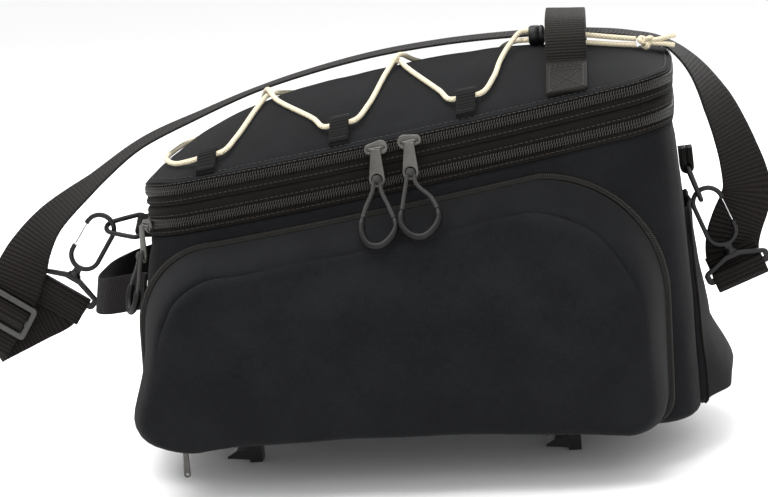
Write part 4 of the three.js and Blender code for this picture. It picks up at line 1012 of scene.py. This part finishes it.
handle_webbing = ribbed("handle_webbing", (0.0025, 0.0022, 0.0019), (0.0185, 0.0165, 0.0140), 1.9, cross=0.1,
                        depth=0.3)
handle_x, handle_width, handle_top = 121, 27, 279
lift = gap + 1.4 + 1
edge = rim_depth / 2 - 2
foot_end = edge - 44
on_lid = [(y, lid_top(handle_x, y) + lift) for y in (edge, edge - 11, edge - 22, edge - 33, foot_end)]
leg_shares = ((0.97, 0.28), (0.9, 0.62), (0.7, 0.9), (0.36, 0.99))
leg = [(foot_end * y, mixed(on_lid[-1][1], handle_top, z)) for y, z in leg_shares]
near_part = [(-y, z) for y, z in on_lid + leg]
profile = near_part + [(0, handle_top)] + [(-y, z) for y, z in near_part[::-1]]
stations = []
for i, (y, z) in enumerate(profile):
    lean = lid_top(handle_x + 1, y) - lid_top(handle_x - 1, y)
    grip = max(0.0, 1 - abs(i - len(near_part)) / 4)
    stations.append(((handle_x, y, z), (2, 0, lean), mixed(2.8, 7, grip)))
_, frames = strip("handle_strap", stations, handle_width, 2.8, handle_webbing, 8,
                  lambda t: max(0.0, min(1.0, (0.5 - abs(t - 0.5)) * 4 - 1.0)), stands_for=["carry_handle"],
                  slot="webbing")
for side_name, order in (("near", frames), ("far", frames[::-1])):
    lines = []

    def on_patch(down, beside):
        p, forward, across, face, thick = order[max(0, min(len(order) - 1, int(down / 11 * 8)))]
        up = face if face.z > 0 else -face
        return p + across * beside + up * (thick + 0.1)

    for beside in (-11, 11):
        lines.append([on_patch(down, beside) for down in range(2, 36, 3)])
    for down in (2, 30, 33, 36, 39):
        lines.append([on_patch(down, beside) for beside in (-11, -5, 0, 5, 11)])
    lines.append([on_patch(2 + 28 * t / 8, -11 + 22 * t / 8) for t in range(9)])
    lines.append([on_patch(2 + 28 * t / 8, 11 - 22 * t / 8) for t in range(9)])
    stitches(f"handle_box_{side_name}", lines, Vector((0, 0, 1)), 2.2, 0.7, 0.32, slot="webbing")


# End handle
# A plain loop of webbing across the low end, sewn in at both corners, to lift the bag off the rack.
end_z = base_height + 100
half, end_handle_reach = 75, 41
rows_out = [(1, 0), (0.93, 0.012), (0.82, 0.28), (0.68, 0.72), (0.45, 0.95), (0, 1)]
slope = Vector((end_face(-1, half, end_z + 1) - end_face(-1, half, end_z - 1), 0, 2)).normalized()
stations = []
for y, out in [(-y, out) for y, out in rows_out] + [(y, out) for y, out in rows_out[-2::-1]]:
    x = end_face(-1, half * y, end_z) - gap - webbing_thickness / 2 - end_handle_reach * out
    stations.append(((x, half * y, end_z - 9 * out), slope, None))
end_webbing = ribbed("end_handle_webbing", (0.0009, 0.0007, 0.0007), (0.0065, 0.0050, 0.0048), 1.9, cross=0.1,
                     depth=0.3)
strip("end_handle_strap", stations, 25, webbing_thickness, end_webbing, 14, stands_for=["end_handle"],
      slot="webbing")


# Rings and their tabs
# A flat triangular ring of moulded plastic hangs on each end of the bag from a folded tab of webbing. The low
# one stands out level and leans over, and the high one hangs down.
def placed(origin, x_axis, y_axis):
    """Where a piece made flat, in its own plane, stands on the bag."""
    x_axis, y_axis = Vector(x_axis).normalized(), Vector(y_axis).normalized()
    turned = Matrix((x_axis, y_axis, x_axis.cross(y_axis))).transposed().to_4x4()
    return Matrix.Translation(Vector(origin)) @ turned


def cast(name, outlines, thickness, bevel, place, finish, **how):
    """A flat piece with rounded edges from closed outlines, the first its own and the rest its holes."""
    curve = bpy.data.curves.new(name, "CURVE")
    curve.dimensions = "2D"
    curve.fill_mode = "BOTH"
    curve.extrude = (thickness / 2 - bevel) * MM
    curve.bevel_depth = bevel * MM
    curve.bevel_resolution = 3
    curve.offset = -bevel * MM
    for outline in outlines:
        line = curve.splines.new("POLY")
        line.points.add(len(outline) - 1)
        for point, (x, y) in zip(line.points, outline):
            point.co = (x * MM, y * MM, 0, 1)
        line.use_cyclic_u = True
    holder = bpy.data.objects.new(name + "_outline", curve)
    scene.collection.objects.link(holder)
    bpy.context.view_layer.update()
    mesh = bpy.data.meshes.new_from_object(holder.evaluated_get(bpy.context.evaluated_depsgraph_get()))
    points = [place @ (v.co / MM) for v in mesh.vertices]
    faces = [tuple(face.vertices) for face in mesh.polygons]
    bpy.data.objects.remove(holder)
    bpy.data.meshes.remove(mesh)
    made = piece(name, points, faces, finish, **how)
    weld = made.modifiers.new("weld", "WELD")
    weld.merge_threshold = 0.01 * MM
    made.data.set_sharp_from_angle(angle=math.radians(38))
    return made


ring_wire = 3.4
ring_places = {
    "low": ((-206.72, 0, 147), (1, 0, 0), (0, 0.891, 0.454)),
    "high": ((207.98, 0, 146.57), (-0.342, 0, 0.9397), (0, 1, 0)),
}
for end, place in ring_places.items():
    flat = arc(7.2, 0, 7.2, math.pi / 2 + 0.35, 1.5 * math.pi - 0.35, 8)
    flat += arc(22, -9, 4, 1.5 * math.pi - 0.35, 2 * math.pi, 5) + arc(22, 9, 4, 0, math.pi / 2 + 0.35, 5)
    line = spline([placed(*place) @ Vector((x, y, 0)) for x, y in flat], 120, True)
    rope(f"triangle_ring_{end}", line, ring_wire / 2, plastic, sides=14, closed=True,
         stands_for=[f"ring_{end}"], slot="plastic")
tab_turns = {
    "low": ((-180.72, 0, 147), (1, 0, 0), (0, 0.891, 0.454)),
    "high": ((199.09, 0, 171), (-0.0698, 0, 0.9976), (0, 1, 0)),
}
ring_tab_webbing = ribbed("ring_tab_webbing", (0.0015, 0.0013, 0.0012), (0.0100, 0.0088, 0.0078), 2.0,
                          cross=0.2, depth=0.3)
hollow = ring_wire * 0.75 + gap
for end, place in tab_turns.items():
    stand = placed(*place)
    rows = []
    for i in range(13):
        y = -8 + 16 * i / 12
        trim = 0.5 if i in (0, 12) else 0.0
        reach = hollow + 2 - trim
        section = [(13, -reach), (4, -reach), *arc(0, 0, reach, 1.5 * math.pi, math.pi / 2, 14), (4, reach)]
        section += [(13, reach), (13, 0.1), (hollow + 0.2, 0.1)]
        section += arc(0, 0, hollow, math.pi / 2 - 1.5, -3 * math.pi / 2 + 1.5, 14)
        section += [(hollow + 0.2, -0.1), (13, -0.1)]
        rows.append([stand @ Vector((x, y, z)) for x, z in section])
    points, faces, uvs = net(rows, capped=True)
    piece(f"ring_webbing_{end}", points, faces, ring_tab_webbing, [f"ring_tab_{end}"], "webbing",
          uvs=[tuple((v, u) for u, v in uv) for uv in uvs])


# Snap hooks
# Two moulded carabiner hooks join the shoulder strap to the rings. Each has a sprung gate of bent steel wire
# and turns on a stem in a wide eye for the strap.
steel = plain("bright_wire", [300], (0.42, 0.42, 0.43), (0.72, 0.72, 0.73), Metallic=1.0, Roughness=0.22)
hook_outer, hook_bar, hook_thickness = 11.7, 3.2, 4
hook_low = -(45 - 2 * hook_outer)
hook_places = {
    "low": ((-211.56, 0, 145.97), (-0.8387, 0, 0.5446), (0.5446, 0, 0.8387)),
    "high": ((212.54, 0, 144.63), (0.9272, 0, 0.3746), (-0.3746, 0, 0.9272)),
}
inner = hook_outer - hook_bar
stem_half = 2.75
for end, place in hook_places.items():
    stand = placed(*place)
    stem_angle = math.asin(stem_half / hook_outer)
    outline = [(hook_outer - 0.2, -1)] + arc(0, 0, hook_outer, 0, math.pi, 24)
    outline += arc(0, hook_low, hook_outer, math.pi, 1.5 * math.pi - stem_angle, 12)
    outline += [(-stem_half, hook_low - hook_outer - 5), (stem_half, hook_low - hook_outer - 5)]
    outline += arc(0, hook_low, hook_outer, 1.5 * math.pi + stem_angle, 2 * math.pi, 12)
    outline += [(hook_outer, hook_low + 3), (inner, hook_low + 3)]
    outline += arc(0, hook_low, inner, 0, -math.pi, 18) + arc(0, 0, inner, math.pi, 0, 22) + [(inner, -1)]
    cast(f"carabiner_{end}", [outline], hook_thickness, 1.1, stand, plastic, stands_for=[f"snap_hook_{end}"],
         slot="plastic")
    gate_x = hook_outer - hook_bar / 2
    wire = [(gate_x + 0.2, hook_low + 3.9), (gate_x, hook_low + 8), (gate_x - 0.1, -5), (gate_x - 0.3, -1.7)]
    wires = [stand @ Vector((x, y, 1.15)) for x, y in wire]
    wires += [stand @ Vector((x, y, -1.15)) for x, y in wire[::-1]]
    rope(f"gate_wire_{end}", spline(wires, 90, True), 0.42, steel, sides=8, closed=True, body=f"gate_{end}",
         stands_for=[f"snap_gate_{end}"], slot="wire")

eye_places = {"low": (-232.58, 0, 113.6), "high": (226.99, 0, 108.84)}
for end, origin in eye_places.items():
    stand = placed(origin, *hook_places[end][1:])
    floor_y = -11.7
    outline = arc(-19.5, -12, 4, math.pi, 1.5 * math.pi, 6) + arc(19.5, -12, 4, 1.5 * math.pi, 2 * math.pi, 6)
    outline += [(23.5, floor_y + 3.4), (21.5, floor_y + 5.4), (6.4, -0.6), (4.6, 0), (-4.6, 0), (-6.4, -0.6),
                (-21.5, floor_y + 5.4), (-23.5, floor_y + 3.4)]
    hole = [(-19.5, floor_y), (19.5, floor_y), (19.5, floor_y + 2.8), (5, -4), (-5, -4),
            (-19.5, floor_y + 2.8)]
    cast(f"strap_eye_{end}", [outline, hole], 4.2, 0.9, stand, plastic, stands_for=[f"swivel_eye_{end}"],
         slot="plastic")
    collar = [(0.0, -0.25), (4.4, -0.2), (4.9, 0.5), (4.4, 1.5), (3.2, 2.4), (2.9, 4.0)]
    rows = [[stand @ Vector((max(r, 0.05) * math.cos(a), h, 0.86 * max(r, 0.05) * math.sin(a))) for a in
             (2 * math.pi * j / 24 for j in range(24))] for r, h in collar]
    points, faces, _ = net(rows)
    piece(f"swivel_collar_{end}", points, faces, plastic, slot="plastic")


# Strap slider
# The flat three-bar slider of dark grey moulded plastic that sets the shoulder strap's length.
slider_plastic = plain("slider_plastic", [120, 3.0], (0.012, 0.0117, 0.011), (0.026, 0.0253, 0.0236),
                       Roughness=0.32, Specular_IOR_Level=0.5)
slider_plastic.raised(slider_plastic.grain(1500), 0.05)
slider_place = placed((-284, -9, 93), (0.8387, 0, -0.5446), (0.5446, 0, 0.8387))


def rounded(length, width, radius, lift=0.0):
    x, y = length / 2 - radius, width / 2 - radius
    corners = [(x, y), (-x, y), (-x, -y), (x, -y)]
    return [(a, b + lift) for quarter, (cx, cy) in enumerate(corners)
            for a, b in arc(cx, cy, radius, quarter * math.pi / 2, (quarter + 1) * math.pi / 2, 5)]


slots_in_frame = [rounded(38, 6.5, 1, lift) for lift in (-5.25, 5.25)]
cast("three_bar_slider", [rounded(46, 25, 3), *slots_in_frame], 2.6, 0.8, slider_place, slider_plastic,
     stands_for=["strap_slider"], slot="metal")


# Shoulder strap
# A long strap of heavy ribbed nylon webbing. It starts doubled round the low hook's bar, turns back through
# its slider, runs over the lid in one arch and ends doubled round the high hook's bar.
strap_webbing = ribbed("strap_webbing", (0.0010, 0.0008, 0.0007), (0.0120, 0.0094, 0.0084), 2.9, cross=0.05,
                       depth=0.55)
strap_width = 37
bars = {
    "low": (Vector((-240.2, 0, 101.86)), Vector((-0.5446, 0, -0.8387)), Vector((-0.8387, 0, 0.5446))),
    "high": (Vector((232.23, 0, 95.86)), Vector((0.3746, 0, -0.9272)), Vector((0.9272, 0, 0.3746))),
}
beside = 4.2 / 2 + 2 * gap + webbing_thickness / 2
through = -(4 + 2.8) / 2 - gap
round_bar = [(0, -beside), (through * 0.85, -beside * 0.8), (through, 0), (through * 0.85, beside * 0.8)]
layer = (webbing_thickness + gap) / 2 + 0.2


def from_bar(end, rows):
    bar, down, across = bars[end]
    return [(bar + down * along + Vector((0, y, 0)), across, None) for along, y in rows]


stations = from_bar("low", [(16, -layer), (9, -layer - 0.3), (3.5, -beside), *round_bar, (0, beside),
                            (4.5, beside)])
behind = 2.6 / 2 + webbing_thickness / 2 + 1.1
glide_along, glide_across = Vector((0.5446, 0, 0.8387)), Vector((-0.8387, 0, 0.5446))
turn_back = 29
foot = Vector((-284, 0, 93)) - turn_back * glide_along
leave = bars["low"][0] + 10 * bars["low"][1]
away = (foot - leave).normalized()
away_across = Vector((away.z, 0, -away.x))
turn_radius = (beside + 9 - behind) / 2
for share in (0.06, 0.3, 0.6):
    stations.append((leave.lerp(foot, share) + Vector((0, beside + 0.2, 0)), away_across, None))
for share in (0, 0.25, 0.5, 0.75, 1):
    outwards = -glide_along if share > 0.5 else away
    at = foot + outwards * (turn_radius * (math.sin(share * math.pi) - 1))
    at.y = beside - turn_radius + turn_radius * math.cos(share * math.pi)
    stations.append((at, away_across.lerp(glide_across, share), None))
slide = ((-16, behind), (-9.5, behind), (-1.6, -behind), (1.6, -behind), (9.5, behind), (16, behind))
for along, back in slide:
    stations.append((Vector((-284, -9 + back, 93)) + glide_along * along, glide_across, None))
strap_route = [
    (-268, -3, 122, 0.8), (-262, 0, 134, 0.62), (-248, 5, 153, 0.42), (-216, 17, 178, 0.22),
    (-183, 27, 201, 0.12), (-140, 32, 219, 0.05), (-97, 32, 235, 0), (-54, 30, 247, 0), (-11, 28, 256, 0),
    (32, 26, 261.5, 0), (67, 25, 264, 0), (106, 24, 265, 0), (140, 23, 264, 0), (166, 21, 261, 0),
    (187, 19, 255, 0.04), (206, 17, 239, 0.2), (222, 15, 212, 0.4), (235, 14, 177, 0.54),
    (240, 13, 152, 0.7), (237.5, 12, 140, 0.8), (233.2, 10.7, 130, 0.88), (230, 9.6, 121, 0.94),
    (228.4, 8.8, 112.5, 1),
]
for i, (x, y, z, turned) in enumerate(strap_route):
    before, after = strap_route[max(0, i - 1)], strap_route[min(len(strap_route) - 1, i + 1)]
    outward = Vector((before[2] - after[2], 0, after[0] - before[0])).normalized()
    stations.append(((x, y, z), outward * turned + Vector((0, 1 - turned, 0)), None))
outer = 8
stations += from_bar("high", [(-9, outer + 0.4), (0, outer), (6, outer * 0.68), (8.4, 0.6), (6, -beside),
                              *round_bar, (-8, outer - 1.2 * webbing_thickness - gap),
                              (-16, outer - 1.2 * webbing_thickness - gap)])
strip("strap", stations, strap_width, webbing_thickness, strap_webbing, 9, stands_for=["shoulder_strap"],
      slot="webbing")


# Zip sliders and pull tabs
# Each zip has a cast slider with a bridge, from which a gunmetal tab hangs. The tabs on the top zips and on
# the low end have a round eye at their foot for the loop of cord.
gunmetal = plain("gunmetal", [160, 4.0], (0.045, 0.0435, 0.040), (0.115, 0.111, 0.103), Metallic=0.85)
gunmetal.paint(Roughness=gunmetal.grain(160, 4.0) * 0.25 + 0.27)
gunmetal.raised(gunmetal.grain(1400, 3.0), 0.03)
pull_places = {
    "top_1": ((-4, -103.2, 208.38), (1, 0, 0), 0.15),
    "top_2": ((18, -103.2, 212.04), (1, 0, 0), 0.15 + math.pi),
    "end": ((-160.43, -83.12, 161.34), (0.4695, -0.8829, 0), 0),
    "pocket_near": ((-142.89, -106.38, 20.4), (1, 0, 0), math.pi - 0.3),
    "pocket_far": ((-142.89, 106.38, 20.4), (-1, 0, 0), 0.3),
}
for name, (origin, x_axis, spun) in pull_places.items():
    small = name.startswith("pocket")
    stand = placed(origin, x_axis, (0, 0, 1))
    length, width, height = (11, 5.2, 4.2) if small else (16, 9.6, 4.2)
    end_radius = width * 0.36
    outline = arc(-length / 2 + end_radius, 0, end_radius, math.pi / 2, 1.5 * math.pi, 10)
    outline += arc(length / 2 - width / 2, 0, width / 2, 1.5 * math.pi, 2.5 * math.pi, 12)
    spin = Matrix.Rotation(spun, 4, "Z")
    slider_body = stand @ spin @ Matrix.Translation((0, 0, 1.3))
    cast(f"slider_{name}", [outline], 2.6, 0.8, slider_body, gunmetal, stands_for=[f"zip_slider_{name}"],
         slot="metal")
    bridge = [Vector((length * share, 0, z))
              for share, z in ((-0.34, 2.2), (-0.2, 3.9), (0, 4.25), (0.2, 3.9), (0.34, 2.2))]
    rope(f"bridge_{name}", [stand @ spin @ p for p in spline(bridge, 20)], 0.8 if small else 1.15, gunmetal,
         sides=10, slot="metal")
    half, reach, eye_radius = (2.3, 26, 1.2) if small else (5.3, 25, 3.2)
    foot_turn = arc(0, half - reach, half, math.pi, 2 * math.pi, 22)
    tab_outline = [(-half * 0.6, 0), *foot_turn, (half * 0.6, 0)]
    eye = arc(0, half - reach, eye_radius, 2 * math.pi, 0, 24)[:-1]
    tab_stand = stand @ Matrix.Translation((0, 0, 4.2 + gap + 0.9))
    cast(f"tab_{name}", [tab_outline, eye], 1.8, 0.55, tab_stand, gunmetal, body=f"pull_{name}",
         stands_for=[f"pull_tab_{name}"], slot="metal")
    if not small:
        rim_line = [tab_stand @ Vector((x, y, 0))
                    for x, y in arc(0, half - reach, 4.1, 0, 2 * math.pi, 28)[:-1]]
        rope(f"eye_rim_{name}", rim_line, 1.15, gunmetal, sides=8, closed=True, body=f"pull_{name}",
             slot="metal")
        knot_at = loop_routes[name][0], loop_routes[name][-1]
        heart = (Vector(knot_at[0]) + Vector(knot_at[1])) / 2
        forward = (Vector(loop_routes[name][1]) - Vector(knot_at[0])).normalized()
        clamp = [heart + forward * t for t in (-2.4, -0.8, 0.8, 2.4)]
        rope(f"loop_clamp_{name}", spline(clamp, 12), lambda t: 1.9 + 1.1 * math.sin(math.pi * t) ** 0.5,
             dark_braid, sides=14, body=f"pull_{name}", slot="loop_cord")
